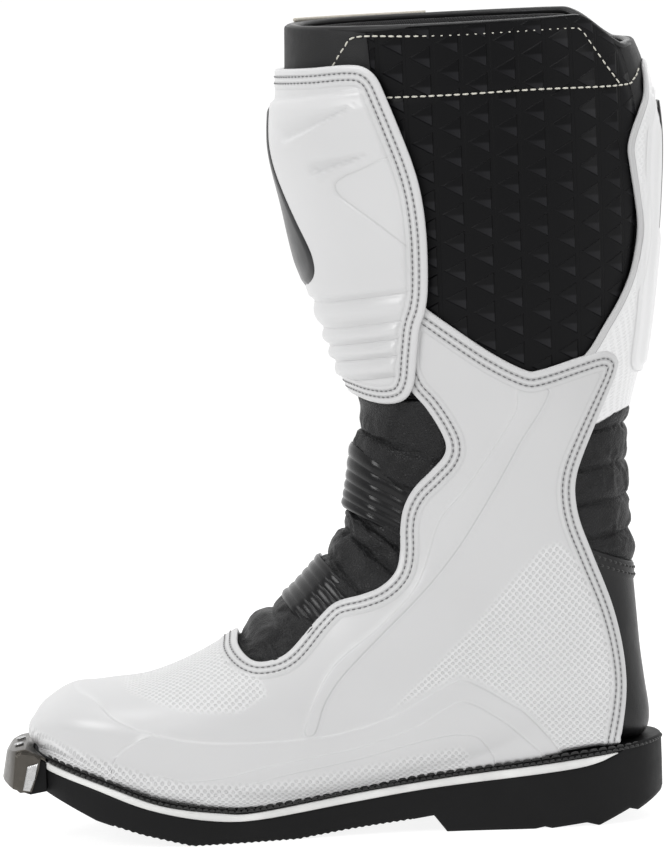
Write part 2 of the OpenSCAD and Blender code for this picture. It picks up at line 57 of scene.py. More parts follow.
# Front or top point x, z, back or bottom point x, z, half width, roundness in front and behind.
SECTIONS = np.array([
    [-147, 54, -147, 49.5, 10, 2.2, 3],
    [-141, 61, -141, 47.7, 26, 2.2, 4],
    [-130, 67.5, -130, 43.5, 38, 2.2, 5],
    [-113, 69.5, -112, 37, 46, 2.2, 5],
    [-93, 72, -88, 28.3, 50, 2.1, 5],
    [-71, 80, -60, 23, 51, 2.1, 5],
    [-49, 92, -25, 24, 49, 2.1, 5],
    [-37, 100.5, 5, 28, 46, 2.1, 4.8],
    [-23, 108, 35, 32, 43, 2.1, 4.5],
    [-12, 118.5, 62, 34.6, 41, 2.1, 4.2],
    [-3, 129, 88, 37.5, 39, 2.1, 3.9],
    [4, 139, 112, 40.3, 37, 2.1, 3.6],
    [7, 146, 130, 41.8, 36, 2.1, 3.2],
    [8.5, 153, 140.5, 44.5, 35, 2.1, 2.8],
    [10, 160, 141, 66, 34, 2.1, 2.5],
    [11.5, 168, 139.5, 96, 34, 2.1, 2.3],
    [13, 178, 137.5, 128, 35, 2.1, 2.2],
    [15, 190, 135.5, 160, 37, 2.1, 2.2],
    [17, 204, 136, 192, 41, 2.1, 2.2],
    [8.6, 226, 143.5, 222, 46, 2.1, 2.2],
    [-2, 260, 149, 256, 51, 2.1, 2.2],
    [-12, 295, 153.5, 296, 55, 2.1, 2.2],
    [-17, 328, 155, 332, 57, 2.1, 2.2],
    [-15, 358, 150, 362, 58, 2.1, 2.2],
    [-14, 385, 139, 387, 57, 2.1, 2.2],
])
LAST = len(SECTIONS) - 1
NOSE_R = 3.2

# Offsets of the layers from the base surface.
SOFT_IN = 0.4
SOFT_OUT = 2.3
SHELL_IN = 2.7
SHELL_OUT = 4.6
PLATE_IN = 5.0
PLATE_OUT = 7.2
STRAP_IN = 7.6
STRAP_OUT = 9.6
STRAP_W = 24
# The shell's foot is drawn out to this far from the sole's edge, by at most so much.
FLARE_INSET = 1.5
FLARE_MOST = 12


def row(points):
    """Millimetres in the boot's own frame to metres in the row frame."""
    return (np.asarray(points, float) + ORIGIN) / 1000


def spot(x, y, z):
    """One place in the row frame, in metres."""
    return tuple(row([x, y, z]))


def catmull(a, b, c, d, t):
    """The curve from b to c that heads for a and d at its ends, at t from 0 to 1."""
    return b + 0.5 * t * ((c - a) + t * ((2 * a - 5 * b + 4 * c - d) + t * (3 * (b - c) + d - a)))


def section(u):
    """The seven section values at fractional sections u, along a new last axis."""
    u = np.clip(u, 0, LAST)
    i = np.clip(np.floor(u).astype(int), 0, LAST - 1)
    return catmull(*(SECTIONS[np.clip(i + k, 0, LAST)] for k in (-1, 0, 1, 2)), (u - i)[..., None])


def base(u, a):
    """Points of the base surface: section u, angle a in degrees, 0 in front, 90 on the outer side.
    Below section 0 a small dome closes the toe."""
    u, a = np.broadcast_arrays(np.asarray(u, float), np.asarray(a, float))
    fx, fz, bx, bz, w, nf, nb = np.moveaxis(section(u), -1, 0)
    c, s = np.cos(np.radians(a)), np.sin(np.radians(a))
    n = np.where(c > 0, nf, nb)
    r = (np.abs(c) ** n + np.abs(s) ** n) ** (-1 / n)
    turn = np.radians(45 + 45 * np.clip(-u, 0, 1))
    shrink = np.cos(turn) / math.cos(math.pi / 4)
    nose = NOSE_R * (np.sin(turn) - math.sin(math.pi / 4))
    x = (fx + bx) / 2 + (fx - bx) / 2 * r * c * shrink - nose
    z = (fz + bz) / 2 + (fz - bz) / 2 * r * c * shrink
    return np.stack([x, w * r * s * shrink, z], -1)


def unit(v):
    return v / np.maximum(np.linalg.norm(v, axis=-1, keepdims=True), 1e-9)


def outward(u, a):
    """Unit normals of the base surface."""
    u1, u2 = np.clip(u - 0.05, -0.99, LAST), np.clip(u + 0.05, -0.99, LAST)
    return unit(np.cross(base(u2, a) - base(u1, a), base(u, a + 1) - base(u, a - 1)))


def skin(u, a, off):
    """Points off millimetres outside the base surface."""
    return base(u, a) + outward(u, a) * np.asarray(off, float)[..., None]


# ---------------------------------------------------------------- outlines and small helpers


def smooth_line(points, closed=False, steps=6):
    """A smooth curve through given points."""
    p = np.array(points, float)
    n = len(p)
    t = np.arange(steps)[:, None] / steps
    out = []
    for i in range(n if closed else n - 1):
        if closed:
            four = [p[(i + k) % n] for k in (-1, 0, 1, 2)]
        else:
            four = [p[min(max(i + k, 0), n - 1)] for k in (-1, 0, 1, 2)]
        out.append(catmull(*four, t))
    if not closed:
        out.append(p[-1:])
    return np.concatenate(out)


def line_distance(line, x, z, closed):
    """Distance from points to a polyline in a plane."""
    best = np.full(np.shape(x), 1e9)
    ends = np.roll(line, -1, 0) if closed else line[1:]
    for (px, pz), (qx, qz) in zip(line, ends):
        dx, dz = qx - px, qz - pz
        t = np.clip(((x - px) * dx + (z - pz) * dz) / max(dx * dx + dz * dz, 1e-9), 0, 1)
        best = np.minimum(best, (x - px - t * dx) ** 2 + (z - pz - t * dz) ** 2)
    return np.sqrt(best)


def inside_distance(outline, x, z):
    """Signed distance to a closed outline in a plane, positive inside."""
    odd = np.zeros(np.shape(x), bool)
    for (px, pz), (qx, qz) in zip(outline, np.roll(outline, -1, 0)):
        crosses = (pz > z) != (qz > z)
        at = px + (z - pz) * (qx - px) / (qz - pz if abs(qz - pz) > 1e-9 else 1e-9)
        odd ^= crosses & (x < at)
    return np.where(odd, 1, -1) * line_distance(outline, x, z, True)


def ramp(low, high, v):
    """Smooth step from 0 at low to 1 at high."""
    t = np.clip((v - low) / (high - low), 0, 1)
    return t * t * (3 - 2 * t)


# ---------------------------------------------------------------- cutting a grid to an outline

# Grid points closer to the border than this share of a cell are moved onto it.
SNAP = 0.35


def cut_grid(us, vs, f):
    """Keeps the part of the grid where f is positive. Returns parameters u, v and triangles."""
    gi, gj = np.gradient(f)
    slope = gi * gi + gj * gj + 1e-12
    di, dj = -f * gi / slope, -f * gj / slope
    near = (np.abs(di) < SNAP) & (np.abs(dj) < SNAP) & (np.abs(f) < 2 * np.sqrt(slope))
    u = us[:, None] + np.where(near, di, 0) * np.gradient(us)[:, None]
    v = vs[None, :] + np.where(near, dj, 0) * np.gradient(vs)[None, :]
    f = np.where(near, 0.0, f).ravel()
    u, v = u.ravel(), v.ravel()
    rows, cols = len(us), len(vs)
    k = (np.arange(rows - 1)[:, None] * cols + np.arange(cols - 1)[None, :]).ravel()
    tri = np.concatenate([np.stack([k, k + cols, k + cols + 1], 1), np.stack([k, k + cols + 1, k + 1], 1)])
    keep = f[tri] >= 0
    count = keep.sum(1)
    whole = tri[(count == 3) & (f[tri].max(1) > 0)]

    def between(p, q):
        t = f[p] / (f[p] - f[q])
        return u[p] + t * (u[q] - u[p]), v[p] + t * (v[q] - v[p])

    extra_u, extra_v, faces = [], [], [whole]
    total = len(u)
    for wanted, flag in ((1, True), (2, False)):
        some = tri[count == wanted]
        odd = np.argmax(keep[count == wanted] == flag, 1)
        some = np.take_along_axis(some, (odd[:, None] + np.arange(3)) % 3, 1)
        p, q, r = some.T
        for end in (q, r):
            eu, ev = between(p, end)
            extra_u.append(eu)
            extra_v.append(ev)
        a = total + np.arange(len(p))
        b = a + len(p)
        total += 2 * len(p)
        if flag:
            faces.append(np.stack([p, a, b], 1))
        else:
            faces += [np.stack([q, r, b], 1), np.stack([q, b, a], 1)]
    u = np.concatenate([u] + extra_u)
    v = np.concatenate([v] + extra_v)
    tri = np.concatenate(faces)
    used, tri = np.unique(tri, return_inverse=True)
    tri = tri.reshape(-1, 3)
    key = np.round(np.stack([u[used], v[used]], 1), 5)
    key, same = np.unique(key, axis=0, return_inverse=True)
    tri = same.ravel()[tri]
    tri = tri[(tri[:, 0] != tri[:, 1]) & (tri[:, 1] != tri[:, 2]) & (tri[:, 2] != tri[:, 0])]
    return key[:, 0], key[:, 1], tri


def border_edges(tri):
    """Directed edges that belong to one triangle only."""
    edges = np.concatenate([tri[:, [0, 1]], tri[:, [1, 2]], tri[:, [2, 0]]])
    size = tri.max() + 1
    key = edges.min(1) * size + edges.max(1)
    _, first, count = np.unique(key, return_index=True, return_counts=True)
    return edges[first[count == 1]]


def nearest(targets, points):
    """Distance from each point to the nearest of the targets."""
    tree = kdtree.KDTree(len(targets))
    for i, p in enumerate(targets):
        tree.insert(p, i)
    tree.balance()
    return np.array([tree.find(p)[2] for p in points])


def chains(segments):
    """Joins pairs of ids into ordered runs."""
    links = {}
    for p, q in segments:
        links.setdefault(p, []).append(q)
        links.setdefault(q, []).append(p)
    left = set(links)
    runs = []
    while left:
        ends = [p for p in left if len(links[p]) == 1]
        at = min(ends) if ends else min(left)
        run = [at]
        left.discard(at)
        while True:
            step = [q for q in links[at] if q in left]
            if not step:
                break
            at = step[0]
            left.discard(at)
            run.append(at)
        if not ends and len(run) > 2:
            run.append(run[0])
        runs.append(run)
    return runs


# Steps round the edge of a sheet, from its outer to its inner face.
LIP = 4


class Sheet:
    """A closed sheet over the base surface, from offset low to high, cut to an outline, with a round edge.

    place(u, v, off) gives its points, and relief(rim, u, v, points) how far each outer point is raised.
    inside(u, v, outer) gives the signed distances to the borders that have a rim and to the others."""

    def __init__(self, us, vs, inside, low, high, relief=None, place=skin):
        half = (high - low) / 2
        grid_u, grid_v = np.meshgrid(us, vs, indexing="ij")
        rimmed, plain = inside(grid_u, grid_v, place(grid_u, grid_v, np.full(grid_u.shape, high)))
        self.u, self.v, self.tri = cut_grid(us, vs, np.minimum(rimmed, plain) - half)
        u, v = self.u, self.v
        self.n = outward(u, v)
        top = place(u, v, np.full(u.shape, float(high)))
        bottom = place(u, v, np.full(u.shape, float(low)))
        edges = border_edges(self.tri)
        rimmed, plain = inside(u, v, top)
        ids = np.unique(edges)
        rim_ids = ids[rimmed[ids] <= plain[ids] + 0.1]
        is_rim = np.isin(edges, rim_ids).all(1)
        p, q = top[edges[is_rim, 0]], top[edges[is_rim, 1]]
        marks = np.concatenate([p, p + (q - p) / 3, p + (q - p) * 2 / 3]) if len(p) else top[:1] + 1e3
        self.rim = nearest(marks, top)
        if relief is not None:
            top = top + self.n * relief(self.rim, u, v, top)[:, None]
        self.top = top
        side = np.zeros_like(top)
        along = unit(top[edges[:, 1]] - top[edges[:, 0]])
        for k in (0, 1):
            np.add.at(side, edges[:, k], np.cross(along, self.n[edges[:, k]]))
        side = unit(side)
        slot = np.full(len(u), -1)
        slot[ids] = np.arange(len(ids))
        centre, axis = (top[ids] + bottom[ids]) / 2, (top[ids] - bottom[ids]) / 2
        thick = np.linalg.norm(axis, axis=1)[:, None]
        rings = [centre + axis * math.cos(math.pi * k / LIP) + side[ids] * thick * math.sin(math.pi * k / LIP)
                 for k in range(1, LIP)]
        n = len(u)
        self.points = np.concatenate([top, bottom] + rings)
        faces = [self.tri, self.tri[:, ::-1] + n]
        e0, e1 = slot[edges[:, 0]], slot[edges[:, 1]]
        between = [np.stack([e0, e1], 1) + 2 * n + k * len(ids) for k in range(LIP - 1)]
        starts = [edges] + between + [edges + n]
        for hi, lo in zip(starts, starts[1:]):
            faces.append(np.stack([hi[:, 1], hi[:, 0], lo[:, 0], lo[:, 1]], 1))
        self.faces = faces
        self.round_count = len(ids) * (LIP - 1)

    def spread(self, values, edge):
        """Values of the outer face repeated for the inner one, with the value edge round the lip."""
        return np.concatenate([values, values, np.full(self.round_count, edge)])

    def row_at(self, level):
        """Ordered points and normals where the distance to the rim crosses level."""
        d = self.rim - level
        tri = self.tri
        cross = []
        for a, b in ((0, 1), (1, 2), (2, 0)):
            cross.append((d[tri[:, a]] > 0) != (d[tri[:, b]] > 0))
        hit = np.stack(cross, 1)
        some = tri[hit.sum(1) == 2]
        hit = hit[hit.sum(1) == 2]
        spots, segments = {}, []
        for t, h in zip(some, hit):
            ids = []
            for k in (0, 1, 2):
                if h[k]:
                    p, q = sorted((int(t[k]), int(t[(k + 1) % 3])))
                    spots[(p, q)] = d[p] / (d[p] - d[q])
                    ids.append((p, q))
            segments.append(ids)
        runs = []
        for run in chains(segments):
            p = np.array([r[0] for r in run])
            q = np.array([r[1] for r in run])
            s = np.array([spots[r] for r in run])[:, None]
            runs.append((self.top[p] * (1 - s) + self.top[q] * s, unit(self.n[p] * (1 - s) + self.n[q] * s)))
        return runs

# ---------------------------------------------------------------- meshes


def make_mesh(name, points, faces, material, fields=None, flat=None):
    """A mesh object from arrays of points in millimetres and face indices."""
    mesh = bpy.data.meshes.new(name)
    faces = [np.asarray(f) for f in (faces if isinstance(faces, list) else [faces]) if len(f)]
    loops = np.concatenate([f.ravel() for f in faces]).astype(np.int32)
    sizes = np.concatenate([np.full(len(f), f.shape[1]) for f in faces])
    mesh.vertices.add(len(points))
    mesh.vertices.foreach_set("co", row(points).astype(np.float32).ravel())
    mesh.loops.add(len(loops))
    mesh.loops.foreach_set("vertex_index", loops)
    mesh.polygons.add(len(sizes))
    mesh.polygons.foreach_set("loop_start", np.concatenate([[0], np.cumsum(sizes)[:-1]]).astype(np.int32))
    mesh.polygons.foreach_set("use_smooth", np.ones(len(sizes), bool))
    mesh.update(calc_edges=True)
    if flat is not None:
        layer = mesh.uv_layers.new(name="flat")
        layer.data.foreach_set("uv", flat[loops].astype(np.float32).ravel())
    for key, values in (fields or {}).items():
        field = mesh.attributes.new(key, "FLOAT", "POINT")
        field.data.foreach_set("value", values.astype(np.float32))
    mesh.validate()
    mesh.materials.append(material)
    thing = bpy.data.objects.new(name, mesh)
    bpy.context.scene.collection.objects.link(thing)
    return thing


def flat_map(points):
    """Map coordinates in millimetres: along the boot, and up the sides and over the top."""
    return np.stack([points[:, 0], points[:, 2] - np.abs(points[:, 1])], 1)


# Rows of the table of girths, and the turn between its columns in degrees.
MAP_ROWS = 240
MAP_TURN = 3


def wrapped_map(sheet, upright):
    """Map coordinates of a sheet on the upper, in millimetres: along the boot and down round it from its
    front line, or, where the sheet is upright, round the leg and up it."""
    rows = np.linspace(sheet.u.min(), sheet.u.max(), MAP_ROWS)
    turn = np.arange(0, 181, MAP_TURN)
    plane = [0, 1] if upright else [1, 2]
    steps = np.linalg.norm(np.diff(base(rows[:, None], turn)[..., plane], axis=1), axis=2)
    girth = np.column_stack([np.zeros(MAP_ROWS), np.cumsum(steps, axis=1)])
    row = (sheet.u - rows[0]) / (rows[-1] - rows[0]) * (MAP_ROWS - 1)
    column = np.abs(sheet.v) / MAP_TURN
    i = np.clip(row.astype(int), 0, MAP_ROWS - 2)
    j = np.clip(column.astype(int), 0, len(turn) - 2)
    s, t = row - i, column - j
    near = girth[i, j] * (1 - t) + girth[i, j + 1] * t
    far = girth[i + 1, j] * (1 - t) + girth[i + 1, j + 1] * t
    way_round = near * (1 - s) + far * s
    pair = (way_round, sheet.top[:, 2]) if upright else (sheet.top[:, 0], section(sheet.u)[..., 1] - way_round)
    return np.stack([sheet.spread(values, 0.0) for values in pair], 1)


# Value of a distance field where its line is far away.
FAR = 99.0


def sheet_object(name, sheet, material, upright=False, **fields):
    """A sheet's mesh, with its distance to the rim and the other fields that its material reads."""
    fields = {key: sheet.spread(values, 0.0 if key == "grain" else FAR) for key, values in fields.items()}
    fields["rim"] = sheet.spread(sheet.rim, 0.0)
    return make_mesh(name, sheet.points, sheet.faces, material, fields, wrapped_map(sheet, upright))


def grid_faces(rows, cols, wrap=False):
    """Quads of a grid of points, facing the cross product of row and column directions."""
    span = cols if wrap else cols - 1
    i, j = np.meshgrid(np.arange(rows - 1), np.arange(span), indexing="ij")
    a = (i * cols + j).ravel()
    b = (i * cols + (j + 1) % cols).ravel()
    return np.stack([a, a + cols, b + cols, b], 1)


def resample(points, normals, pitch):
    """Evenly spaced points, normals and directions along a run."""
    steps = np.linalg.norm(np.diff(points, axis=0), axis=1)
    s = np.concatenate([[0], np.cumsum(steps)])
    count = int(s[-1] / pitch)
    if count < 2:
        return None
    at = (np.arange(count) + 0.5) * s[-1] / count
    p = np.stack([np.interp(at, s, points[:, k]) for k in range(3)], 1)
    n = unit(np.stack([np.interp(at, s, normals[:, k]) for k in range(3)], 1))
    ahead = np.stack([np.interp(at + 0.4, s, points[:, k]) for k in range(3)], 1)
    behind = np.stack([np.interp(at - 0.4, s, points[:, k]) for k in range(3)], 1)
    return p, n, unit(ahead - behind)


# Sides of a stitch.
STITCH_SIDES = 6


def stitch_rows(name, runs, material, pitch=2.8, length=1.9, radius=0.36, lift=0.05, keep=None):
    """Rows of short thread stitches as one mesh, each a small capsule lying on the surface."""
    ring = np.arange(STITCH_SIDES) * 2 * math.pi / STITCH_SIDES
    along = np.array([-0.5, -0.34, 0, 0.34, 0.5]) * length
    wide = np.array([0.25, 0.9, 1, 0.9, 0.25]) * radius
    drop = np.array([-0.8, -0.1, 0.1, -0.1, -0.8]) * radius
    points, faces = [], []
    quads = grid_faces(len(along), STITCH_SIDES, wrap=True)
    last = len(along) * STITCH_SIDES - 1
    caps = np.array([range(STITCH_SIDES), range(last, last - STITCH_SIDES, -1)])
    total = 0
    for path, normals in runs:
        made = resample(path, normals, pitch)
        if made is None:
            continue
        p, n, t = made
        if keep is not None:
            chosen = keep(p)
            p, n, t = p[chosen], n[chosen], t[chosen]
        if not len(p):
            continue
        side = unit(np.cross(n, t))
        body = (p[:, None, None] + t[:, None, None] * along[None, :, None, None]
                + side[:, None, None] * (wide[:, None] * np.cos(ring))[None, :, :, None]
                + n[:, None, None] * (lift + drop[:, None] + wide[:, None] * np.sin(ring) * 0.8)[None, :, :, None])
        points.append(body.reshape(-1, 3))
        first = total + np.arange(len(p))[:, None, None] * len(along) * STITCH_SIDES
        faces.append((quads[None] + first).reshape(-1, 4))
        total += body.size // 3
        for cap in caps:
            faces.append((cap[None, None] + first).reshape(-1, STITCH_SIDES))
    if not points:
        return None
    return make_mesh(name, np.concatenate(points), faces, material)


def settle(piece, body, slot, *nodes):
    """Fixes a piece to the body named by body, or only bakes its place where body is not a name, and hides
    the CAD nodes that it stands for. slot, its material slot, is not used.
    """
    if isinstance(body, str):
        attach(piece, body)
    else:
        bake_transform(piece)
    if nodes:
        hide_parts(*nodes)
    return piece


ANKLE = ("foot", "shaft", spot(84, 0, 152), spot(84, 0, 214))

# ---------------------------------------------------------------- materials


class Shader:
    """Short calls for building one material's nodes."""

    def __init__(self, name, color, roughness, **sockets):
        self.material = bpy.data.materials.new(name)
        self.material.use_nodes = True
        self.tree = self.material.node_tree
        self.main = self.tree.nodes["Principled BSDF"]
        self.main.inputs["Base Color"].default_value = (*color, 1)
        self.main.inputs["Roughness"].default_value = roughness
        for key, value in sockets.items():
            self.main.inputs[key.replace("_", " ")].default_value = value

    def node(self, kind, inputs=None, **settings):
        made = self.tree.nodes.new(kind)
        for key, value in settings.items():
            setattr(made, key, value)
        for key, value in (inputs or {}).items():
            if isinstance(value, bpy.types.NodeSocket):
                self.tree.links.new(value, made.inputs[key])
            else:
                made.inputs[key].default_value = value
        return made

    def math(self, operation, a, b=0.0, c=0.0):
        """One step of arithmetic on sockets or numbers."""
        return self.node("ShaderNodeMath", {0: a, 1: b, 2: c}, operation=operation).outputs[0]

    def place(self, scale=1.0):
        """Object coordinates in millimetres, times scale."""
        coords = self.node("ShaderNodeTexCoord").outputs["Object"]
        return self.node("ShaderNodeVectorMath", {0: coords, "Scale": 1000 * scale}, operation="SCALE").outputs[0]

    def noise(self, size, detail=3.0, rough=0.5):
        """Noise with bumps about size millimetres wide."""
        inputs = {"Vector": self.place(1 / size), "Scale": 1.0, "Detail": detail, "Roughness": rough}
        return self.node("ShaderNodeTexNoise", inputs).outputs["Fac"]

    def cells(self, size):
        """Distance to the edges of cells about size millimetres wide."""
        inputs = {"Vector": self.place(1 / size), "Scale": 1.0}
        return self.node("ShaderNodeTexVoronoi", inputs, feature="DISTANCE_TO_EDGE").outputs["Distance"]

    def field(self, name):
        """A value stored on the mesh."""
        return self.node("ShaderNodeAttribute", attribute_name=name).outputs["Fac"]

    def flat(self):
        """The sheet's own map coordinates, in millimetres."""
        uv = self.node("ShaderNodeUVMap", uv_map="flat").outputs["UV"]
        split = self.node("ShaderNodeSeparateXYZ", {0: uv})
        return split.outputs[0], split.outputs[1]

    def curve(self, value, stops):
        """A value through given (position, level) stops from 0 to 1."""
        made = self.node("ShaderNodeValToRGB", {"Fac": value})
        made.color_ramp.interpolation = "EASE"
        points = made.color_ramp.elements
        while len(points) < len(stops):
            points.new(0.5)
        for point, (at, level) in zip(points, stops):
            point.position = at
            point.color = (level, level, level, 1)
        return made.outputs["Color"]

    def tint(self, amount, color, dark, light):
        """Base colour from dark to light times color."""
        mixed = self.node("ShaderNodeMix", {"Factor": amount}, data_type="RGBA")
        mixed.inputs["A"].default_value = (*(dark * c for c in color), 1)
        mixed.inputs["B"].default_value = (*(light * c for c in color), 1)
        self.tree.links.new(mixed.outputs["Result"], self.main.inputs["Base Color"])

    def rough(self, value, low, high):
        """Roughness from low to high."""
        made = self.node("ShaderNodeMapRange", {"Value": value, "To Min": low, "To Max": high})
        self.tree.links.new(made.outputs["Result"], self.main.inputs["Roughness"])

    def bump(self, *layers):
        """Bumps from (height, depth in millimetres) layers."""
        normal = None
        for height, depth in layers:
            inputs = {"Height": height, "Distance": depth / 1000, "Strength": 1.0}
            if normal is not None:
                inputs["Normal"] = normal
            normal = self.node("ShaderNodeBump", inputs).outputs["Normal"]
        self.tree.links.new(normal, self.main.inputs["Normal"])


# Distance from the rim, in millimetres, that the rim's curves cover.
RIM_REACH = 14.0
# Distance between the holes of the moulded grain.
GRAIN_PITCH = 2.35


def moulded_white(name, color, roughness, steps=(), lines=(), grained=False, seamed=True, line_tone=-0.07):
    """White moulded plastic: a rim with two stitching grooves, painted with shade in the grooves and at the
    foot of the raised rim, or a plain rim with a grey band along its edge; embossed edges where the
    fields in steps cross zero, creases where those in lines reach their level, and a grain of small
    holes in diagonal rows, with painted shade in the holes. The edge tone, the last argument, is how much
    lighter an edge or crease is painted than the rest: a painted highlight where it is positive, painted
    shade where it is negative."""
    s = Shader(name, color, roughness, Specular_IOR_Level=0.45, Coat_Weight=0.12, Coat_Roughness=0.3)
    reach = s.math("DIVIDE", s.field("rim"), RIM_REACH)
    stops = [(0, 0.7), (1.7, 0.7), (2.1, 0.3), (2.6, 0), (3.1, 0.25), (3.6, 0.6), (4.7, 0.6), (5.2, 0.25),
             (5.7, 0), (6.2, 0.3), (6.8, 0.62), (7.6, 0.5), (8.4, 0.25), (9.6, 0.42)]
    # Darkening along a seamed rim is painted shade: at the bottoms of the two grooves (2.6 and 5.7 mm) and at the
    # foot of the raised rim (8.5 mm).
    shade_and_band_stops = [(2.0, 1), (2.6, 0.45), (3.2, 1), (5.1, 1), (5.7, 0.45), (6.3, 1), (8.0, 1), (8.5, 0.9), (9.2, 1)]
    if not seamed:
        stops = [(0, 0.1), (2.0, 0), (2.7, 0.7)]
        shade_and_band_stops = [(0, 0.55), (2.1, 0.6), (2.7, 1)]
    edge = s.curve(reach, [(mm / RIM_REACH, level) for mm, level in stops])
    inner = s.curve(reach, [(7.0 / RIM_REACH, 0), (9.0 / RIM_REACH, 1)])
    layers = [(edge, 0.8), (s.noise(18, 2), 0.15), (s.noise(1.1, 2), 0.015)]
    raised, near = 0.0, 99.0
    for key in steps:
        raised = s.math("ADD", raised, s.curve(s.math("MULTIPLY_ADD", s.field(key), 0.6, 0.5), [(0, 0), (1, 1)]))
    for key, at in [(key, 0.0) for key in steps] + list(lines):
        near = s.math("MINIMUM", near, s.math("ABSOLUTE", s.math("SUBTRACT", s.field(key), at)))
    crease = s.curve(s.math("MULTIPLY", near, 0.5), [(0.0, 0), (0.45, 1)])
    crease = s.math("MAXIMUM", crease, s.math("SUBTRACT", 1.0, inner))
    layers += [(s.math("MULTIPLY", raised, inner), 0.35), (crease, 0.2)]
    stain = s.curve(s.noise(45, 3), [(0.3, 0), (0.75, 1)])
    # Painted shade in the stitching grooves and at the foot of the raised rim; on a plain rim, a grey band along
    # its edge.
    groove = s.curve(reach, [(mm / RIM_REACH, level) for mm, level in shade_and_band_stops])
    shade = s.math("MULTIPLY", s.math("MULTIPLY_ADD", stain, 0.026, 0.78), groove)
    # Edges and creases painted lighter or darker than the rest: a painted highlight where the tone is positive,
    # painted shade where it is negative.
    shade = s.math("MULTIPLY", shade, s.math("MULTIPLY_ADD", crease, -line_tone, 1 + line_tone))
    if grained:
        p, q = s.flat()
        turn = math.pi / GRAIN_PITCH / math.sqrt(2)
        one = s.math("ABSOLUTE", s.math("SINE", s.math("MULTIPLY", s.math("ADD", p, q), turn)))
        two = s.math("ABSOLUTE", s.math("SINE", s.math("MULTIPLY", s.math("SUBTRACT", p, q), turn)))
        holes = s.curve(s.math("MULTIPLY", one, two), [(0.3, 0), (0.8, 1)])
        holes = s.math("MULTIPLY", holes, s.field("grain"))
        layers.append((s.math("SUBTRACT", 1.0, holes), 0.4))
        # Painted shade in the grain: the holes are painted darker than the ground between them. Grained areas are
        # lighter overall.
        lift = s.math("MULTIPLY_ADD", holes, -0.32, 1.0)
        lift = s.math("MULTIPLY_ADD", s.field("grain"), 0.3, lift)
        shade = s.math("MULTIPLY", shade, lift)
    s.tint(shade, color, 0.3, 1.2)
    s.rough(s.noise(25, 3), roughness - 0.04, roughness + 0.08)
    s.bump(*layers)
    return s.material


def leather(name, color, roughness, grain, depth, coat=0.0):
    """Coated leather with pores grain millimetres wide."""
    s = Shader(name, color, roughness, Specular_IOR_Level=0.24, Coat_Weight=coat, Coat_Roughness=0.25)
    pores = s.curve(s.cells(grain), [(0, 0), (0.22, 1)])
    s.tint(s.noise(18, 4), color, 0.6, 1.6)
    s.rough(s.noise(6, 4), roughness - 0.08, roughness + 0.12)
    s.bump((pores, depth), (s.noise(grain * 5, 4, 0.6), depth * 2.2), (s.noise(14, 3), 0.3))
    return s.material


def rubber(name, color, roughness, depth=0.05):
    """Matte moulded rubber."""
    s = Shader(name, color, roughness, Specular_IOR_Level=0.15)
    s.tint(s.noise(20, 4), color, 0.75, 1.25)
    s.rough(s.noise(5, 4), roughness - 0.06, roughness + 0.1)
    s.bump((s.noise(0.8, 3, 0.7), depth), (s.noise(8, 2), depth * 2))
    return s.material


def metal(name, color, roughness):
    """Cast or worn metal, unevenly polished."""
    s = Shader(name, color, roughness, Metallic=1.0)
    s.tint(s.noise(4, 5, 0.7), color, 0.62, 1)
    s.rough(s.noise(2.5, 5, 0.7), roughness - 0.08, roughness + 0.16)
    s.bump((s.noise(0.6, 3, 0.7), 0.06), (s.noise(5, 3), 0.08))
    return s.material


def plastic(name, color, roughness, coat=0.3, specular=0.3):
    """Moulded plastic with faint sink marks."""
    s = Shader(name, color, roughness, Specular_IOR_Level=specular, Coat_Weight=coat, Coat_Roughness=0.1)
    s.tint(s.noise(22, 3), color, 0.8, 1.3)
    s.rough(s.noise(7, 4), roughness - 0.05, roughness + 0.1)
    s.bump((s.noise(0.9, 3), 0.015), (s.noise(9, 2), 0.12))
    return s.material


def woven(name, color, pitch, depth=0.12):
    """Knitted or woven cloth: two crossing waves of thread."""
    s = Shader(name, color, 0.9, Sheen_Weight=0.3, Sheen_Roughness=0.5)
    x, y, z = s.node("ShaderNodeSeparateXYZ", {0: s.place(2 * math.pi / pitch)}).outputs
    around = s.math("ADD", x, y)
    weave = s.math("MULTIPLY", s.math("SINE", around), s.math("SINE", z))
    s.tint(s.curve(weave, [(0.0, 0), (0.6, 1)]), color, 0.5, 1.5)
    s.bump((weave, depth), (s.noise(9, 3), 0.3))
    return s.material


def thread(name, color):
    """Twisted sewing thread."""
    s = Shader(name, color, 0.75, Sheen_Weight=0.2)
    s.tint(s.noise(1.2, 3), color, 0.6, 1)
    s.bump((s.noise(0.35, 2), 0.05))
    return s.material


# Size of the pads' embossed triangles, along the boot and up it.
TRIANGLE_PITCH = 13.2
TRIANGLE_STEP = 13.4
PAD_BLACK = (0.0045, 0.0045, 0.005)


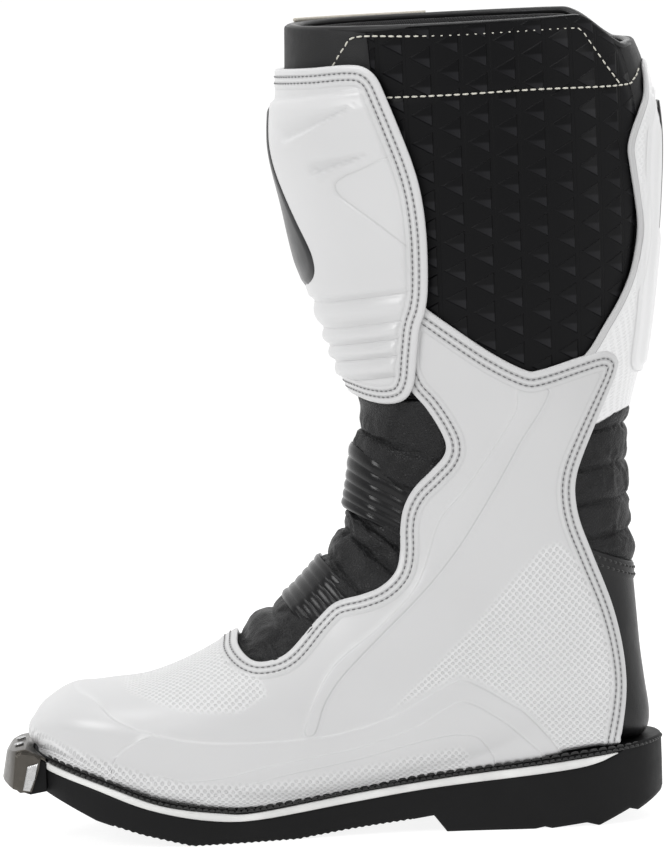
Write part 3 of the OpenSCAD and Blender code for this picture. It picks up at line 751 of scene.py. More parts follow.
def embossed_pad():
    """Black cover with columns of raised, glossier triangles, each painted lighter on its lower half towards its
    broad end as a painted highlight.
    """
    s = Shader("embossed_pad", (0.006, 0.006, 0.0065), 0.5, Specular_IOR_Level=0.1)
    p, q = s.flat()
    across = s.math("DIVIDE", p, TRIANGLE_PITCH)
    column = s.math("FLOOR", across)
    x = s.math("MULTIPLY", s.math("SUBTRACT", across, column), TRIANGLE_PITCH)
    shift = s.math("MULTIPLY", s.math("FLOORED_MODULO", column, 2.0), 0.5)
    level = s.math("ADD", s.math("DIVIDE", q, TRIANGLE_STEP), shift)
    z = s.math("ABSOLUTE", s.math("MULTIPLY", s.math("SUBTRACT", s.math("FRACT", level), 0.5), TRIANGLE_STEP))
    slope = s.math("SUBTRACT", s.math("MULTIPLY", s.math("SUBTRACT", x, 0.8), 0.54), z)
    inside = s.math("MINIMUM", s.math("SUBTRACT", 11.8, x), s.math("MULTIPLY", slope, 0.88))
    face = s.curve(s.math("MULTIPLY", inside, 0.5), [(0.0, 0), (0.4, 1)])
    lean = s.math("MULTIPLY", face, s.math("DIVIDE", x, TRIANGLE_PITCH))
    line = s.curve(s.math("MINIMUM", x, s.math("SUBTRACT", TRIANGLE_PITCH, x)), [(0.0, 1), (0.35, 0)])
    low_side = s.curve(s.math("FRACT", level), [(0.42, 1), (0.5, 0)])
    # Painted highlight: the triangles' lower halves are painted lighter, more so towards their broad end.
    facet_highlight = s.math("MULTIPLY", s.math("MULTIPLY", face, low_side), s.math("DIVIDE", x, TRIANGLE_PITCH))
    s.tint(facet_highlight, PAD_BLACK, 1, 3.7)
    mixed = s.math("MULTIPLY_ADD", face, -0.24, 0.5)
    s.rough(s.math("ADD", mixed, s.math("MULTIPLY", s.noise(7, 4), 0.12)), 0.0, 1.0)
    s.bump((face, 0.3), (lean, 0.55), (line, -0.12), (s.noise(0.7, 3), 0.025), (s.noise(30, 2), 0.5))
    return s.material


# Distances to the shell's five embossed shapes, as they are stored on its mesh.
SHELL_STEPS = ["line_%d" % i for i in range(5)]
# Heights of the joints between the ribs at the foot of the shin plate.
RIBS = [253.5, 240.5, 232, 224, 214]
RIB_LINES = [("slope", height) for height in RIBS]
WHITE = (0.525, 0.525, 0.528)
MAT = {
    # The shell's embossed edges get a painted highlight; the shin and calf plates' creases and block edge get
    # painted shade.
    "shell": moulded_white("shell_white", WHITE, 0.34, SHELL_STEPS, grained=True, line_tone=0.06),
    "plate": moulded_white("plate_white", (0.55, 0.55, 0.553), 0.3, ("vee",), RIB_LINES),
    "calf": moulded_white("calf_white", (0.68, 0.68, 0.683), 0.3, ("block",), grained=True, seamed=False),
    "bellows": leather("bellows_leather", (0.008, 0.008, 0.0085), 0.42, 1.5, 0.2),
    "counter": leather("counter_leather", (0.009, 0.009, 0.0094), 0.36, 0.9, 0.03, 0.03),
    "gaiter": leather("gaiter_black", (0.012, 0.012, 0.0125), 0.5, 0.8, 0.03),
    "rubber": rubber("outsole_rubber", (0.006, 0.006, 0.0063), 0.55),
    "stripe": rubber("stripe_rubber", (0.66, 0.66, 0.65), 0.45, 0.02),
    "welt": rubber("welt_rubber", (0.005, 0.005, 0.0053), 0.5, 0.12),
    "steel": metal("toe_steel", (0.115, 0.106, 0.094), 0.27),
    "bright_steel": metal("pin_steel", (0.6, 0.6, 0.6), 0.22),
    "cast": metal("cast_alloy", (0.55, 0.55, 0.56), 0.34),
    "strap": plastic("strap_black", (0.006, 0.006, 0.0065), 0.24, 0.06, 0.22),
    "catch": plastic("catch_black", (0.02, 0.02, 0.021), 0.4),
    "lever": plastic("lever_grey", (0.36, 0.365, 0.37), 0.34, 0.4),
    "inlay": plastic("inlay_black", (0.013, 0.013, 0.014), 0.35),
    "lining": woven("lining_knit", (0.02, 0.02, 0.021), 1.3),
    "board": woven("sole_board", (0.3, 0.21, 0.12), 0.9, 0.05),
    "pad": embossed_pad(),
    "piping": thread("piping_cream", (0.62, 0.58, 0.5)),
    "grey_thread": thread("thread_grey", (0.17, 0.17, 0.175)),
    "cream_thread": thread("thread_cream", (0.68, 0.66, 0.58)),
    "black_thread": thread("thread_black", (0.01, 0.01, 0.01)),
}

# ---------------------------------------------------------------- edge lines, seen from the side

OPENING_EDGE = smooth_line([
    (-64, 112), (-52, 99), (-50.5, 92), (-44, 86.5), (-36, 86), (-26, 90), (-12, 104), (-3, 111.5), (10, 115),
    (19, 118.5), (26, 125), (28.5, 134), (29, 145), (31, 155), (36, 164), (44, 172), (50.5, 179),
    (52, 185), (49, 193), (43, 203), (36, 212), (32, 225), (34, 245), (40, 256),
])
TOP_EDGE = smooth_line([
    (45, 250), (56, 241.7), (75, 228), (90, 219.6), (97, 219), (116, 224), (127, 226.4), (132, 225.5),
    (135.5, 221.5), (135, 217), (132.5, 210.5),
])
REAR_EDGE = smooth_line([
    (132.5, 210.5), (123.5, 191.5), (116.5, 176), (113.5, 167), (112.7, 158), (114.5, 146), (120, 130),
    (128.5, 106), (133, 86), (134.5, 68), (133, 52), (130, 38), (126, 24),
])
SHELL_OUTLINE = np.concatenate([[(-220, 0), (-220, 112)], OPENING_EDGE, TOP_EDGE, REAR_EDGE, [(126, 0)]])
PLATE_OUTLINE = np.concatenate([
    [(-90, 215), (-90, 366)],
    smooth_line([(-24, 364.5), (-6, 365), (10, 366), (19, 365), (25, 360), (29, 351), (35, 335), (40.5, 319),
                 (44, 304), (45.8, 285), (45.6, 262), (44, 250), (41, 241), (39.2, 228), (37.5, 215),
                 (33.5, 207.5), (26, 204.8), (17, 205.6), (8, 208.5), (-10, 214)]),
])
CALF_OUTLINE = np.concatenate([
    [(230, 150), (105, 150)],
    smooth_line([(108, 217), (114, 221.5), (121.5, 227.5), (129, 238.5), (136.8, 250.2), (142.6, 262), (145.6, 273),
                 (147, 282), (147, 290), (145.7, 301.5), (144.1, 313.4), (143.4, 322), (145.6, 330), (149.6, 339),
                 (152.4, 346), (153, 354), (152.8, 361), (156, 364), (165, 365)]),
    [(230, 365)],
])
# Lower edge of the calf plate, and the raised block on the plate.
CALF_FOOT = np.array([(90, 188), (124.9, 192.5), (133.5, 196.3), (140.9, 198.3), (160, 201)])
CALF_BLOCK = np.concatenate([
    smooth_line([(175, 354), (160, 352), (156.9, 347), (154, 336), (152.4, 326.8), (151, 310), (150.2, 296),
                 (149.2, 280), (147, 262.8), (144.5, 241), (141.6, 222), (142, 217), (144.5, 214.5), (152, 214)]),
    [(230, 214), (230, 354)],
])
WELT_TOP = smooth_line([
    (-160, 48.5), (-116, 33), (-89, 22.9), (-61, 17.6), (-43, 16.9), (6, 23.2), (34, 27.4), (79, 32.2), (117, 36.5),
    (160, 38.5),
])


def level(line, x):
    """Height of a line of points at x."""
    return np.interp(x, line[:, 0], line[:, 1])


def above_welt(outer):
    """Distance above the shell's lower edge, which is tucked behind the welt."""
    return outer[..., 2] - level(WELT_TOP, outer[..., 0]) + 2.5


def flared(u, a, off):
    """The skin, drawn out at its foot to meet the edge of the sole."""
    p = skin(u, a, off)
    foot = p[..., 2] - level(WELT_TOP, p[..., 0])
    depth = inside_distance(SOLE_OUTLINE, p[..., 0], p[..., 1])
    flat = unit(outward(u, a) * [1, 1, 0])
    move = np.clip(depth - FLARE_INSET, 0, FLARE_MOST) * ramp(26, 2, foot) * ramp(-152, -142, p[..., 0])
    return p + flat * move[..., None]


def side_cut(outline, outer):
    """Signed distance to an outline drawn on the side, positive inside it."""
    return inside_distance(outline, outer[..., 0], outer[..., 2])


# Embossed shapes of the shell, seen from the side.
BAND = [
    (87, 214), (85.7, 202), (78.4, 189.5), (67.3, 173.3), (57.9, 161), (47, 148), (36.5, 120), (18.5, 101.1),
    (1.7, 88.7), (-6.2, 81.4), (-13.1, 70.8), (-20.3, 52.5), (-14.9, 51.2), (-10.1, 64.1), (-3.2, 74.7),
    (7, 85.2), (21.6, 98.8), (40.7, 116.6), (57, 136), (72.8, 160.2), (80.8, 173.5), (88.1, 186.1),
    (98.5, 201.6), (101, 211),
]
OVERLAY = [
    (-28, 49), (-5.2, 50.8), (21.1, 57.5), (43.2, 68.6), (54.3, 73.4), (63.9, 70), (76.6, 61.8), (87.2, 53.8),
    (104, 30), (96, 10), (-109, 10), (-112, 39), (-107.7, 45.7), (-102.1, 50), (-92, 54.2), (-77.6, 51.4),
    (-59.6, 49.3), (-41.5, 48.9),
]
INNER_OVERLAY = [
    (-92, 33), (-78, 31.5), (-60, 32.5), (-44, 36), (-28, 39), (-11, 41.3), (5.4, 43.9), (21.9, 48.7),
    (34, 53.1), (45.1, 59.3), (53.9, 63.3), (61.4, 61.3), (68.8, 56.7), (81.5, 46.4), (98, 24), (60, 5),
    (-28, 0), (-92, 5),
]
LOW_OVERLAY = [
    (-75, 20), (-60, 24.5), (-45, 29), (-28, 33), (5.2, 38.5), (38, 45.9), (55.5, 47.4), (65, 42.7), (69, 26),
    (40, 5), (-28, 0), (-75, 0),
]
TOE_CAP = [
    (-139, 90), (-135.4, 76), (-119.4, 69.8), (-110.6, 62.2), (-100, 57.2), (-91, 54.3), (-102.1, 50),
    (-107.7, 45.7), (-112, 36), (-114, 10), (-190, 10), (-190, 90),
]
# Each shape's outline and height, and half the width of the slope at its edge.
EMBOSSED = [(smooth_line(outline, closed=True, steps=4), height) for outline, height in
            ((BAND, 0.9), (OVERLAY, 1.1), (INNER_OVERLAY, 0.7), (LOW_OVERLAY, 0.5), (TOE_CAP, 0.7))]
EMBOSSED_SLOPE = 1.6
# Areas of the shell with a grain.
HEEL_GRAIN = [
    (104.4, 137), (95.7, 134.1), (78.8, 117.3), (61.7, 98.4), (43.7, 81.6), (20.1, 60), (43.2, 70), (54.3, 75),
    (64, 71.5), (78, 62.5), (88.6, 54.5), (102, 35), (103, 20), (140, 20), (140, 100),
]
LOW_GRAIN = [
    (-170, 58), (-149.9, 55.5), (-136.5, 50.7), (-118.7, 44), (-104.4, 39), (-91.9, 34.8), (-78.5, 31.5),
    (-64.9, 29.7), (-37.8, 29.2), (-13.5, 32), (5.1, 34.5), (37.8, 39.4), (53.1, 41.5), (58.3, 37.5),
    (57, 15), (-170, 0),
]
VAMP_GRAIN = [
    (-113, 90), (-111.1, 76.7), (-104, 71.8), (-91.4, 67.7), (-75.1, 63.4), (-50.4, 62.4), (-36.4, 70.1),
    (-40, 80), (-52, 84), (-54, 110),
]


def shell_relief(rim, u, v, p):
    """Raised rim and embossed shapes of the shell."""
    raised = 0.5 * ramp(8.6, 7.0, rim)
    inner = ramp(7, 10.5, rim)
    for outline, height in EMBOSSED:
        raised = raised + inner * height * ramp(-EMBOSSED_SLOPE, EMBOSSED_SLOPE, side_cut(outline, p))
    return raised


def grain_mask(sheet):
    """1 where the shell has a grain, 0 elsewhere."""
    p = sheet.top
    mask = np.zeros(len(p))
    for outline in (HEEL_GRAIN, LOW_GRAIN, VAMP_GRAIN):
        d = inside_distance(np.array(outline), p[:, 0], p[:, 2])
        mask = np.maximum(mask, ramp(-1, 3, d))
    return mask * ramp(7.2, 8.8, sheet.rim)


# Section at which the outer quarter meets the foot shell.
SEAM_U = 6.5
# Millimetres from that section to the next.
SEAM_SPAN = 22
# Distances of the two rows of stitches from the rim.
STITCH_LEVELS = (2.6, 5.7)


def shell_lines(sheet):
    """Signed distances to the outlines of the embossed shapes."""
    return {key: side_cut(outline, sheet.top) for key, (outline, _) in zip(SHELL_STEPS, EMBOSSED)}


def rows_and_stitches(name, sheet, material, levels=STITCH_LEVELS, keep=None, **sizes):
    """Stitches along a sheet's rim, at the given distances from it."""
    runs = [run for level in levels for run in sheet.row_at(level)]
    return stitch_rows(name, runs, material, keep=keep, **sizes)


def shell_pieces(node, us, angles, inside):
    """One moulding of the shell, and its stitches."""
    sheet = Sheet(us, angles, inside, SHELL_IN, SHELL_OUT, shell_relief, place=flared)
    shell = sheet_object(node + "_moulding", sheet, MAT["shell"], grain=grain_mask(sheet), **shell_lines(sheet))
    settle(shell, ANKLE, "white_shell", node)
    seams = rows_and_stitches(node + "_stitching", sheet, MAT["grey_thread"],
                              keep=lambda p: p[:, 2] > level(WELT_TOP, p[:, 0]) + 1)
    settle(seams, ANKLE, "white_shell")


def build_foot_shell():
    def inside(u, a, outer):
        side = side_cut(SHELL_OUTLINE, outer)
        far = np.where(a > 0, (SEAM_U - u) * SEAM_SPAN, FAR)
        return side, np.minimum(above_welt(outer), far)

    us = np.concatenate([[-0.97, -0.85, -0.65, -0.42, -0.2], np.arange(0, 20.5, 0.06)])
    shell_pieces("foot_shell", us, np.arange(-172, 172.1, 1.5), inside)


def build_lateral_shell():
    def inside(u, a, outer):
        side = side_cut(SHELL_OUTLINE, outer)
        return np.minimum(side, (u - SEAM_U - 0.03) * SEAM_SPAN), above_welt(outer)

    shell_pieces("lateral_shell", np.arange(SEAM_U - 0.4, 20.5, 0.06), np.arange(2, 176.1, 1.5), inside)


def scoop(p, start, end, width, depth):
    """A wedge-shaped dent from a deep end to a shallow one, seen from the side."""
    sx, sz = start
    ex, ez = end
    length = math.hypot(ex - sx, ez - sz)
    dx, dz = (ex - sx) / length, (ez - sz) / length
    along = ((p[:, 0] - sx) * dx + (p[:, 2] - sz) * dz) / length
    across = (p[:, 2] - sz) * dx - (p[:, 0] - sx) * dz
    wide = width * np.clip(1 - along, 0.05, 1)
    inside = ramp(-0.12, 0.05, along) * ramp(1.1, 0.8, along)
    fade = inside * np.clip(1 - along * 0.8, 0, 1)
    dent = -depth * fade * ramp(1, 0.1, across / wide) * ramp(-0.25, 0.0, across / wide)
    return dent + 1.1 * fade * np.exp(-((across / wide + 0.42) / 0.2) ** 2)


# A shallow V in the upper part of the shin plate.
V_SHAPE = np.concatenate([
    smooth_line([(54, 267), (36, 281), (25, 290), (13.9, 298.6), (6.2, 304.9), (4.1, 310.4), (8.5, 314.2),
                 (16.1, 317.4), (27, 322), (45, 329)]),
    [(60, 329), (60, 267)],
])


def rib_slope(p):
    """Height along the shin plate's ribs, which climb a little towards the back."""
    return p[:, 2] - 0.14 * np.maximum(p[:, 0], 0)


def plate_relief(rim, u, a, p):
    """Ribs at the foot of the shin plate, a swollen body with three dents, and a step at the top."""
    x, z = p[:, 0], p[:, 2]
    inner = ramp(7.0, 9.5, rim)
    raised = 0.45 * ramp(8.6, 7, rim)
    slope = rib_slope(p)
    bulge = np.zeros(len(x))
    for high, low in zip(RIBS, RIBS[1:]):
        half = (high - low) / 2
        gap = np.clip(half - np.abs(slope - (high + low) / 2), 0, half)
        share = (np.sqrt(gap ** 2 + 0.64) - 0.8) / (math.sqrt(half ** 2 + 0.64) - 0.8)
        bulge = bulge + 2.3 * (1 - (1 - share) ** 2)
    bulge = bulge + 1.9 * ramp(253.5, 257, slope) * ramp(300, 262, slope)
    top_step = 1.5 * ramp(350.5, 348.5, z - 0.12 * (x + 20)) * ramp(300, 330, z)
    body = 0.9 * ramp(262, 275, z) * ramp(352, 345, z)
    v_side = side_cut(V_SHAPE, p)
    dents = (scoop(p, (-16, 333), (17, 348), 8.5, 2.4) + scoop(p, (-4, 316.5), (24, 325.6), 6.5, 2.4)
             - 1.1 * ramp(-1, 1, v_side) * np.clip(1 - (x - 4) / 34, 0.2, 1))
    return raised + inner * (bulge + top_step + body + dents)


def build_shin_plate():
    def inside(u, a, outer):
        return side_cut(PLATE_OUTLINE, outer), np.full(u.shape, FAR)

    us, angles = np.arange(17.6, 23.7, 0.035), np.arange(-100, 100.1, 1.2)
    sheet = Sheet(us, angles, inside, PLATE_IN, PLATE_OUT, plate_relief)
    plate = sheet_object("shin_plate_moulding", sheet, MAT["plate"], slope=rib_slope(sheet.top),
                         vee=side_cut(V_SHAPE, sheet.top))
    settle(plate, "shaft", "white_plate", "shin_plate")
    seams = rows_and_stitches("shin_plate_stitching", sheet, MAT["grey_thread"])
    settle(seams, "shaft", "white_plate")


# The calf plate reaches further forward on the outer side, to carry the upper two catches.
CARRIER_OUTLINE = smooth_line([
    (150, 226), (128, 237), (110, 240), (96, 240), (88, 246), (86, 256), (86, 268), (90, 280), (92, 292),
    (86, 306), (76, 316), (74, 328), (76, 342), (84, 351), (100, 353), (130, 352), (160, 352), (180, 300),
], closed=True)


def calf_relief(rim, u, a, p):
    """A raised block down the back of the calf plate, with a channel for the inlay."""
    away = np.abs(a - 180)
    block = side_cut(CALF_BLOCK, p)
    channel = ramp(15, 12, away) * ramp(20.5, 20.8, u) * ramp(22.6, 22.3, u)
    return ramp(1.5, 4, rim) * (1.8 * ramp(-0.8, 0.8, block) + 1.2 * ramp(3.0, 5.0, block) - 1.8 * channel)


def build_calf_plate():
    def inside(u, a, outer):
        side = side_cut(CALF_OUTLINE, outer)
        carrier = side_cut(CARRIER_OUTLINE, outer)
        far = np.where(a < 180, np.maximum(side, carrier), side)
        hidden = np.where(u < 19.6, 2.0 - side_cut(SHELL_OUTLINE, outer), FAR)
        return far, np.minimum(hidden, outer[..., 2] - level(CALF_FOOT, outer[..., 0]) + 1)

    us, angles = np.arange(17.9, 23.9, 0.035), np.arange(70, 270.1, 1.2)
    sheet = Sheet(us, angles, inside, SHELL_IN, SHELL_OUT, calf_relief)
    block = side_cut(CALF_BLOCK, sheet.top)
    plate = sheet_object("calf_plate_moulding", sheet, MAT["calf"], upright=True, block=block,
                         grain=0.35 * ramp(3.2, 5, sheet.rim) * ramp(0, -1.5, block))
    settle(plate, "shaft", "white_plate", "calf_plate")

# ---------------------------------------------------------------- finding places on the upper


class SideFinder:
    """Finds sections and angles on one side of the upper from places seen from the side."""

    def __init__(self, side, off):
        self.off = off
        u, a = np.meshgrid(np.arange(0, LAST + 0.01, 0.1), side * np.arange(2, 178.1, 2), indexing="ij")
        self.u, self.a = u.ravel(), a.ravel()
        p = self.place(self.u, self.a)
        self.tree = kdtree.KDTree(len(p))
        for i, (x, y, z) in enumerate(p):
            self.tree.insert((x, 0, z), i)
        self.tree.balance()

    def place(self, u, a):
        return skin(u, a, np.full(np.shape(u), self.off))

    def find(self, line):
        """The nearest grid point, then four small steps towards the place itself."""
        ids = np.array([self.tree.find((x, 0, z))[1] for x, z in line])
        u, a = self.u[ids].copy(), self.a[ids].copy()
        for _ in range(4):
            p = self.place(u, a)
            du, da = (self.place(u + 0.02, a) - p) / 0.02, (self.place(u, a + 0.5) - p) / 0.5
            ex, ez = line[:, 0] - p[:, 0], line[:, 1] - p[:, 2]
            det = du[:, 0] * da[:, 2] - du[:, 2] * da[:, 0]
            det = np.where(np.abs(det) < 0.5, 0.5 * np.sign(det + 1e-9), det)
            u = np.clip(u + np.clip((ex * da[:, 2] - ez * da[:, 0]) / det, -0.3, 0.3), 0, LAST)
            a = a + np.clip((du[:, 0] * ez - du[:, 2] * ex) / det, -3, 3)
        return u, a

    def run(self, points, lift=0.0):
        """Points and normals along a smooth line drawn on the side."""
        u, a = self.find(smooth_line(points, steps=10))
        return skin(u, a, np.full(len(u), self.off + lift)), outward(u, a)


def tube(name, path, radius, material, sides=10):
    """A round cord along a level path."""
    along = unit(np.gradient(path, axis=0))
    side = unit(np.cross([0.0, 0, 1], along))
    top = np.cross(along, side)
    turn = np.arange(sides)[None, :, None] * 2 * math.pi / sides
    ring = path[:, None] + radius * (side[:, None] * np.cos(turn) + top[:, None] * np.sin(turn))
    last = len(path) * sides - 1
    caps = np.array([range(sides), range(last, last - sides, -1)])
    walls = grid_faces(len(path), sides, wrap=True)
    return make_mesh(name, ring.reshape(-1, 3), [walls[:, ::-1], caps[:, ::-1]], material)


# ---------------------------------------------------------------- pads, gaiters and collar

# Angles of the shaft's seams, the lowest section of its covers and the length of a section at the collar.
FRONT_SEAM = 58
FLAP_SEAM = 84
REAR_SEAM = 152
PAD_FOOT = 18.42
COLLAR_SPAN = 27


def collar_drop(a):
    """How far the collar's edge is below the top section, in millimetres: most at the back."""
    turn = np.radians(a)
    return np.clip(2.6 - 3.2 * np.sin(turn), 0, None) + 16 * ramp(0.7, 0.92, -np.cos(turn))


def collar_u(a):
    """Section at which the collar's edge is."""
    return LAST - collar_drop(a) / COLLAR_SPAN


def under_collar(u, a, outer):
    return np.full(u.shape, FAR), (collar_u(a) - u) * COLLAR_SPAN + 1.2


def around(u, a, middle):
    """Length round section u from angle middle to angle a, in millimetres."""
    steps = np.linspace(0, 1, 25)
    angles = middle + (a - middle)[:, None] * steps
    p = base(np.broadcast_to(u[:, None], angles.shape), angles)
    return np.sign(a - middle) * np.linalg.norm(np.diff(p, axis=1), axis=2).sum(1)


def pad_relief(low, high):
    """A pad sinks a little at its seams and swells between them."""
    def relief(rim, u, a, p):
        edge = np.minimum(a - low, high - a)
        seam = -0.9 * ramp(5, 0.5, edge)
        swell = 0.7 * ramp(0, 25, edge)
        line = -0.7 * np.exp(-((p[:, 2] - 351) / 2.2) ** 2)
        under = -0.7 * np.clip(21 - u, 0, 1)
        return (seam + swell + line + under) * ramp(18.4, 19.2, u)
    return relief


OUTER = SideFinder(1, SOFT_OUT)
INNER = SideFinder(-1, SOFT_OUT)
# The pads' light stitching, seen from the side.
PAD_SEAM = [(3, 362), (6, 366.5), (11, 374), (17, 379), (40, 378.6), (61, 378.3), (90, 378.8), (116, 379.2),
            (122, 378), (127, 371), (133, 362), (140, 352)]
PAD_LINE = [(22, 350.3), (60, 350.6), (100, 351.6), (140, 351.5), (147, 354), (150, 359)]


def shaft_sheet(name, low, high, material, slot, middle=None, step=1.4, rise=0.045):
    """A soft cover of the shaft between two angles. middle is the angle its triangles are counted from."""
    us = np.linspace(PAD_FOOT, LAST, int((LAST - PAD_FOOT) / rise))
    sheet = Sheet(us, np.linspace(low, high, int((high - low) / step)), under_collar, SOFT_IN, SOFT_OUT,
                  pad_relief(low, high))
    flat = flat_map(sheet.points)
    if middle is not None:
        angles = np.linspace(low - 8, high + 8, 60)
        turn = np.argsort(base(21.5, angles)[:, 0])
        lengths = np.sign(middle) * around(np.full(60, 21.5), angles, middle)
        along = np.interp(sheet.top[:, 0], base(21.5, angles)[turn, 0], lengths[turn])
        pair = np.stack([along, sheet.top[:, 2]], 1)
        flat = np.concatenate([pair, pair, np.zeros((sheet.round_count, 2))])
    piece = make_mesh(name + "_cover", sheet.points, sheet.faces, MAT[material], None, flat)
    settle(piece, "shaft", slot, name)


def build_shaft_covers():
    shaft_sheet("medial_pad", -REAR_SEAM, -FRONT_SEAM - 0.6, "pad", "embossed_pad", -105)
    shaft_sheet("lateral_pad", FLAP_SEAM + 0.6, REAR_SEAM, "pad", "embossed_pad", 105)
    shaft_sheet("front_gaiter", -FRONT_SEAM, FLAP_SEAM, "gaiter", "gaiter_fabric", step=2.5, rise=0.1)
    shaft_sheet("rear_gaiter", REAR_SEAM + 0.6, 359.4 - REAR_SEAM, "gaiter", "gaiter_fabric", step=2.5, rise=0.1)
    runs = [finder.run(line, 0.35) for finder in (INNER, OUTER) for line in (PAD_SEAM, PAD_LINE)]
    seams = stitch_rows("pad_stitching", runs, MAT["cream_thread"], pitch=3.9, length=3.0, radius=0.45,
                        keep=lambda p: (p[:, 1] < -8) | (np.abs(p[:, 0] - 88) < 45))
    settle(seams, "shaft", "embossed_pad")


def build_collar():
    """The rolled edge of the collar, and a light piping along its outer side."""
    rows, sides = 240, 14
    turn = np.arange(rows) * 360 / rows
    rim = skin(collar_u(turn), turn, np.full(rows, -0.6))
    rim[:, 2] += 0.4
    flat = unit(outward(np.full(rows, LAST - 0.2), turn) * [1, 1, 0])
    half = (SOFT_OUT + 3.4) / 2
    section_turn = np.arange(sides) * 2 * math.pi / sides
    ring = (rim[:, None] + flat[:, None] * (0.4 + half * np.cos(section_turn))[None, :, None]
            + np.array([0, 0, 1.0]) * (1.9 * np.sin(section_turn))[None, :, None])
    faces = grid_faces(rows + 1, sides, wrap=True) % (rows * sides)
    piece = make_mesh("collar_edge", ring.reshape(-1, 3), faces, MAT["counter"])
    settle(piece, "shaft", "binding", "collar_binding")
    a = np.linspace(18, 82, 50)
    cord = skin(np.full(50, float(LAST)), a, np.full(50, 1.2)) + [0, 0, 2.2]
    piping = tube("collar_piping", cord, 1.0, MAT["piping"])
    settle(piping, "shaft", "binding")


def lining(name, first, last, rows, body, node, swell=0.0):
    """A soft tube inside the boot, from section first to section last."""
    cols = 90
    us = np.linspace(first, last, rows)
    a = np.arange(cols) * 360 / cols
    grid_u, grid_a = np.meshgrid(us, a, indexing="ij")
    if last > 20:
        grid_u = first + (grid_u - first) * (collar_u(grid_a) - 0.05 - first) / (last - first)
    wave = swell * np.abs(np.sin((grid_u - first) * math.pi * 2))
    outer = skin(grid_u, grid_a, np.full(grid_u.shape, -0.7))
    inner = skin(grid_u, grid_a, -3.4 - wave)
    n = rows * cols
    walls = grid_faces(rows, cols, wrap=True)
    j = np.arange(cols)
    k = (j + 1) % cols
    head, tail = n - cols, 0
    rims = [np.stack([tail + k, tail + j, n + tail + j, n + tail + k], 1),
            np.stack([head + j, head + k, n + head + k, n + head + j], 1)]
    piece = make_mesh(name, np.concatenate([outer.reshape(-1, 3), inner.reshape(-1, 3)]),
                      [walls[:, ::-1], walls + n] + rims, MAT["lining"])
    settle(piece, body, "liner_fabric", node)


def build_linings():
    lining("foot_lining", 0.05, 14, 50, "foot", "foot_liner")
    lining("ankle_lining", 14.1, 18.2, 30, ANKLE, "ankle_liner")
    lining("cuff_lining", 18.3, LAST - 0.05, 40, "shaft", "cuff_liner", swell=1.0)


# ---------------------------------------------------------------- heel counter and bellows


def build_heel_counter():
    top = 15.8

    def inside(u, a, outer):
        slope = (top + 0.012 * np.abs(a - 180) / 10 - u) * 33
        shell = 7 - side_cut(SHELL_OUTLINE, outer)
        return slope, np.minimum(shell, outer[..., 2] - level(WELT_TOP, outer[..., 0]) + 2)

    def relief(rim, u, a, p):
        lip = 0.9 * ramp(7.5, 6.5, rim) - 0.3 * np.exp(-((rim - 4.6) / 0.7) ** 2)
        return lip - 0.7 + 2.6 * ramp(85, 40, p[:, 2])

    us, angles = np.arange(11.5, 16.1, 0.045), np.arange(100, 260.1, 1.3)
    sheet = Sheet(us, angles, inside, SOFT_OUT - 0.8, SOFT_OUT + 0.6, relief)
    piece = sheet_object("heel_counter_leather", sheet, MAT["counter"])
    settle(piece, "foot", "black_leather", "heel_counter")
    seams = rows_and_stitches("heel_counter_stitching", sheet, MAT["black_thread"], levels=(2.0, 5.4), pitch=3.4,
                              length=2.7, radius=0.6)
    settle(seams, "foot", "black_leather")


def wrinkles(x, y, seed, sizes):
    """Smooth, repeatable waves in a few directions, for cloth that bunches."""
    rng = np.random.default_rng(seed)
    total = np.zeros_like(x)
    for size, height in sizes:
        for _ in range(5):
            turn, phase = rng.uniform(0, math.pi), rng.uniform(0, 2 * math.pi)
            total += height / 2.2 * np.sin((x * math.cos(turn) + y * math.sin(turn)) * 2 * math.pi / size + phase)
    return total


def closed_sheet(name, outer, inner, material):
    """A closed body between two grids of points."""
    rows, cols = outer.shape[:2]
    n = rows * cols
    walls = grid_faces(rows, cols)
    edge = np.concatenate([np.arange(cols - 1), np.arange(rows - 1) * cols + cols - 1,
                           (rows - 1) * cols + np.arange(cols - 1, 0, -1), np.arange(rows - 1, 0, -1) * cols])
    after = np.roll(edge, -1)
    band = np.stack([edge, after, after + n, edge + n], 1)
    points = np.concatenate([outer.reshape(-1, 3), inner.reshape(-1, 3)])
    return make_mesh(name, points, [walls[:, ::-1], walls + n, band[:, ::-1]], material)


# Heights of the creases of the Achilles bellows.
ACHILLES_CREASES = [139, 156, 172, 190]


def build_achilles_bellows():
    """Four folds over the tendon, between the shell's rear edges."""
    us = np.linspace(15.68, 18.22, 86)
    angles = np.linspace(-1, 1, 80)

    def side(u):
        """Angle of the shell's rear edge at section u, less what is tucked under it."""
        a = np.arange(90, 180.1, 1.0)
        p = skin(np.full(len(a), u), a, np.full(len(a), SHELL_OUT))
        d = inside_distance(SHELL_OUTLINE, p[:, 0], p[:, 2])
        return np.interp(-6.0, -d, a)

    edge = np.array([side(u) for u in us])

    def levels(z):
        d = np.min([np.abs(z - c) for c in ACHILLES_CREASES], 0)
        return np.clip(d / 6.2, 0, 1)

    grid_u = np.broadcast_to(us[:, None], (len(us), len(angles)))
    grid_a = 180 + (180 - edge)[:, None] * angles[None, :]
    flat = skin(grid_u, grid_a, np.full(grid_u.shape, SOFT_IN))
    tilt = flat[..., 2] - 0.12 * (flat[..., 0] - 138)
    free = np.sqrt(np.clip(1 - (1 - levels(tilt)) ** 2, 0, 1))
    free = free * ramp(0, 0.1, 1 - np.abs(angles))[None, :] * ramp(15.78, 16.05, grid_u)
    outer = inflated_grid(grid_u, grid_a, free, 3.0, SOFT_OUT - 0.9)
    piece = closed_sheet("achilles_bellows_leather", outer, flat, MAT["bellows"])
    settle(piece, ANKLE, "bellows_leather", "achilles_bellows")


